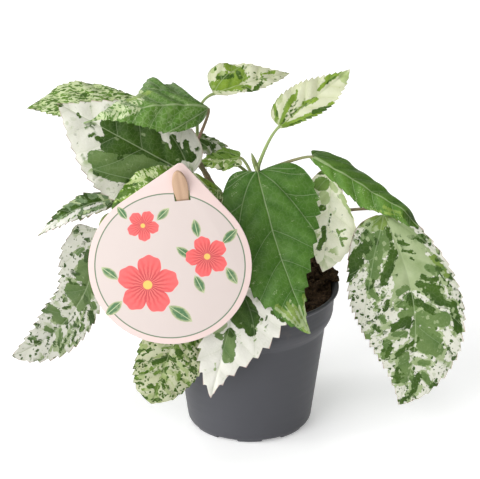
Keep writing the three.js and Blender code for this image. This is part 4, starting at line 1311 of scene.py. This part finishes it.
def bevelled_plate(outline, thickness, bevel, origin, axes):
    """A flat plate with rounded edges, from an outline that runs anticlockwise."""
    tangent = unit(np.roll(outline, -1, axis=0) - np.roll(outline, 1, axis=0))
    inward = np.stack([-tangent[:, 1], tangent[:, 0]], axis=-1)
    rings = []
    for turn in np.linspace(-90, 90, 7):
        angle = math.radians(turn)
        flat = outline + inward * (bevel * (1 - math.cos(angle)))
        level = (thickness / 2 - bevel) * np.sign(turn) + bevel * math.sin(angle)
        rings.append(origin + flat[:, :1] * axes[0] + flat[:, 1:] * axes[1] + level * axes[2])
    grid = np.arange(len(rings) * len(outline)).reshape(len(rings), -1)
    shape = Shape()
    shape.add(np.vstack(rings), quads(grid, closed=True) + [tuple(grid[0][::-1]), tuple(grid[-1])])
    return shape


def arc(centre, radius, start, end, count):
    angle = np.linspace(start, end, count)
    return np.stack([centre[0] + radius * np.cos(angle), centre[1] + radius * np.sin(angle)], axis=-1)


def make_stick():
    foot, axes, long = stick_axes()
    half = STICK["width"] / 2
    crown = long - STICK_CROWN
    down = np.linspace(crown, 0, 121)[1:]
    waist = half * (1 - (1 - STICK_WAIST) * smoothstep(crown, crown - STICK_CROWN, down))
    outline = np.vstack([arc((0, 0), half, 0, math.pi, 40) * (1, STICK_CROWN / half) + (0, crown),
                         np.stack([-waist, down], axis=-1), np.stack([waist, down], axis=-1)[::-1]])
    shape = bevelled_plate(outline, STICK["thickness"], STICK["bevel"], foot, axes)
    shape.maps["grain"] = [(shape.points[0] - foot) @ axes[:2].T]
    shape.piece("stick_wood", "stick_wood", [wood_material()], ["stick"])


def wood_material():
    wood = Material("plain_wood")
    x, y = wood.uv("grain")
    warp = wood.noise(wood.vector(x * 0.12, y * 0.02), 1.0, 3.0) * 9.0
    rings = ((x + warp) * 1.3).math("SINE") * 0.5 + 0.5
    streaks = wood.noise(wood.vector(x * 5.0, y * 0.14), 1.0, 4.0)
    colour = wood.mix(rings * 0.5 + streaks * 0.5, *COLOURS["wood"])
    pores = ((wood.noise(wood.vector(x * 9.0, y * 0.5), 1.0, 2.0) - 0.63) * 9.0).clamped()
    colour = wood.mix(pores * 0.5, colour, COLOURS["pore"])
    return wood.finish(colour, streaks * 0.2 + 0.5, wood.bump(streaks - pores * 0.5, 0.15, 0.6))


def make_card():
    """The card, with the slot that the stick passes through and the places that its print needs."""
    axes, centre = card_axes(), np.array(CARD["centre"], float)
    lean = math.asin(CARD["radius"] / CARD["apex"])
    apex = CARD["apex"] - CARD["apex_radius"] / math.sin(lean)
    outline = np.vstack([arc((0, 0), CARD["radius"], math.pi - lean, 2 * math.pi + lean, 220),
                         arc((0, apex), CARD["apex_radius"], lean, math.pi - lean, 24)])
    shape = bevelled_plate(outline, CARD["thickness"], CARD["bevel"], centre, axes)
    card = shape.piece("card_plate", "card_stock", [card_material()], ["card"])
    foot, stick, long = stick_axes()
    slot = (STICK["width"] * STICK_WAIST + SLOT_CLEAR["width"], 2 * long,
            STICK["thickness"] + SLOT_CLEAR["thickness"])
    cut(card, [block(foot, slot, stick)])
    mesh = card.data
    places = np.zeros(3 * len(mesh.vertices))
    mesh.vertices.foreach_get("co", places)
    local = (places.reshape(-1, 3) / MM - centre) @ axes.T
    add_map(mesh, "card", local[:, :2])
    add_fact(mesh, "face", local[:, 2])
    smooth_by_angle(mesh)


# The print, in millimetres from the card's middle: where its border begins, the radius of its ring,
# blossoms as (x, y, radius, turn), and leaves as (x, y, length, direction)
BORDER_RADIUS = 48.0
RING_RADIUS = 48.2
BLOSSOMS = [(-13, -14, 20, 0.3), (23, 9, 14, 1.1), (-20, 25, 10.5, 0.7)]
PRINTED_LEAVES = [(10, -31, 19, -0.5), (-33, -32, 15, -2.3), (-38, -9, 14, 2.6), (8, 10, 13, 2.6),
                  (40, -2, 14, -0.9), (36, 24, 14, 0.9), (14, 27, 13, 1.9), (-34, 32, 11, 2.3),
                  (-8, 34, 12, 0.9), (20, -10, 14, -1.0)]


def card_material():
    """A pale card with a thin ring, inside it plain leaves and five-petalled blossoms, and a bare back."""
    card = Material("card_print")
    x, y = card.uv("card")
    away = (x * x + y * y).math("SQRT")
    grain = card.noise(card.vector(x, y), 0.8, 3.0)
    ink = card.noise(card.vector(x, y, 4.0), 0.35, 4.0)
    colour = card.mix(((away - BORDER_RADIUS) * 3.0 + 0.5).clamped(), *COLOURS["paper"])
    ring = (0.5 - (away - RING_RADIUS).math("ABSOLUTE")) * 5.0
    colour = card.mix(ring.clamped(), colour, COLOURS["ring"])
    for place_x, place_y, long, turn in PRINTED_LEAVES:
        dx, dy = x - place_x, y - place_y
        along = dx * math.cos(turn) + dy * math.sin(turn)
        aside = (dy * math.cos(turn) - dx * math.sin(turn)).math("ABSOLUTE")
        share = (along / long).math("ABSOLUTE").math("MINIMUM", 0.6)
        half = (1 - share * share * 4.0) * (0.24 * long)
        edge_near = ((half - aside) / (0.12 * long)).clamped()
        shade = card.mix((edge_near + (ink - 0.5) * 1.6).clamped(), *COLOURS["printed_leaf"])
        shade = card.mix(((0.35 - aside) * 4.0).clamped(), shade, COLOURS["printed_rib"])
        colour = card.mix(((half - aside) * 3.0).clamped(), colour, shade)
    for place_x, place_y, radius, turn in BLOSSOMS:
        dx, dy = x - place_x, y - place_y
        reach = (dx * dx + dy * dy).math("SQRT")
        angle = dy.math("ARCTAN2", dx) + turn
        petal = (angle * 2.5).math("SINE").math("ABSOLUTE")
        edge = (angle * 17.0).math("SINE") * (0.02 * radius)
        outline = petal.math("POWER", 0.5) * (0.45 * radius) + 0.55 * radius + edge
        rays = (angle * 25.0 + (ink - 0.5) * 5.0).math("SINE") * 0.5 + 0.5
        share = (reach / radius).clamped()
        shade = card.mix(share, *COLOURS["petal"])
        shade = card.mix(rays * (1 - share) * 0.8, shade, COLOURS["ray"])
        shade = card.mix(((0.22 - petal) * 3.0).clamped() * 0.7, shade, COLOURS["petal_gap"])
        shade = card.mix(((0.16 * radius - reach) * 2.0).clamped(), shade, COLOURS["blossom_eye"])
        colour = card.mix(((outline - reach) * 3.0).clamped(), colour, shade)
    front = (card.attribute("face") * 40.0 + 0.5).clamped()
    colour = card.mix(front, COLOURS["card_back"], colour)
    roughness = grain * 0.08 + 0.42
    return card.finish(colour, roughness, card.bump(grain * 0.3, 0.05, 0.4), Specular_IOR_Level=0.4)


# Stage
def aimed(direction):
    """The turn of a lamp or of the camera that looks along a direction."""
    return direction.to_track_quat("-Z", "Y").to_euler()


def make_stage():
    corners = np.array([(-1, -1, 0), (1, -1, 0), (1, 1, 0), (-1, 1, 0)]) * FLOOR["reach"]
    floor = mesh_object("floor", corners / MM, [(0, 1, 2, 3)])
    pale = Material("pale_floor")
    glow = dict(Emission_Color=(1, 1, 1, 1), Emission_Strength=FLOOR["glow"])
    floor.data.materials.append(pale.finish((FLOOR["grey"],) * 3, FLOOR["roughness"], **glow))
    world = bpy.data.worlds.new("studio")
    world.use_nodes = True
    background = world.node_tree.nodes["Background"]
    background.inputs["Color"].default_value = (1, 1, 1, 1)
    background.inputs["Strength"].default_value = WORLD_LIGHT
    for name, (place, size, power) in LAMPS.items():
        light = bpy.data.lights.new(name, "AREA")
        light.size = size
        light.energy = power
        lamp = linked(name, light)
        lamp.location = place
        lamp.rotation_euler = aimed(Vector(LAMPS_AIM) - Vector(place))
    bpy.context.scene.world = world
    bpy.context.scene.view_settings.view_transform = "Standard"


def make_camera():
    camera = bpy.data.cameras.new("camera")
    camera.sensor_width = SENSOR
    camera.lens = FOCAL_PIXELS / PHOTO_SIZE[0] * SENSOR
    camera.clip_end = CLIP_END
    direction = Vector((0, math.cos(LOOK_DOWN), -math.sin(LOOK_DOWN)))
    seen = linked("camera", camera)
    seen.location = Vector(AIM * MM) - direction * FAR * MM
    seen.rotation_euler = aimed(direction)
    bpy.context.scene.camera = seen


make_camera()
make_stage()
make_pot()
make_soil()
stalk_skin = stalk_material()
make_stems(bark_material(), stalk_skin)
skins = {tone: leaf_material(tone) for tone in ("green", "mixed", "cream")}
for number, name in enumerate(LEAVES):
    make_leaf(name, number, skins, stalk_skin)
make_stick()
make_card()
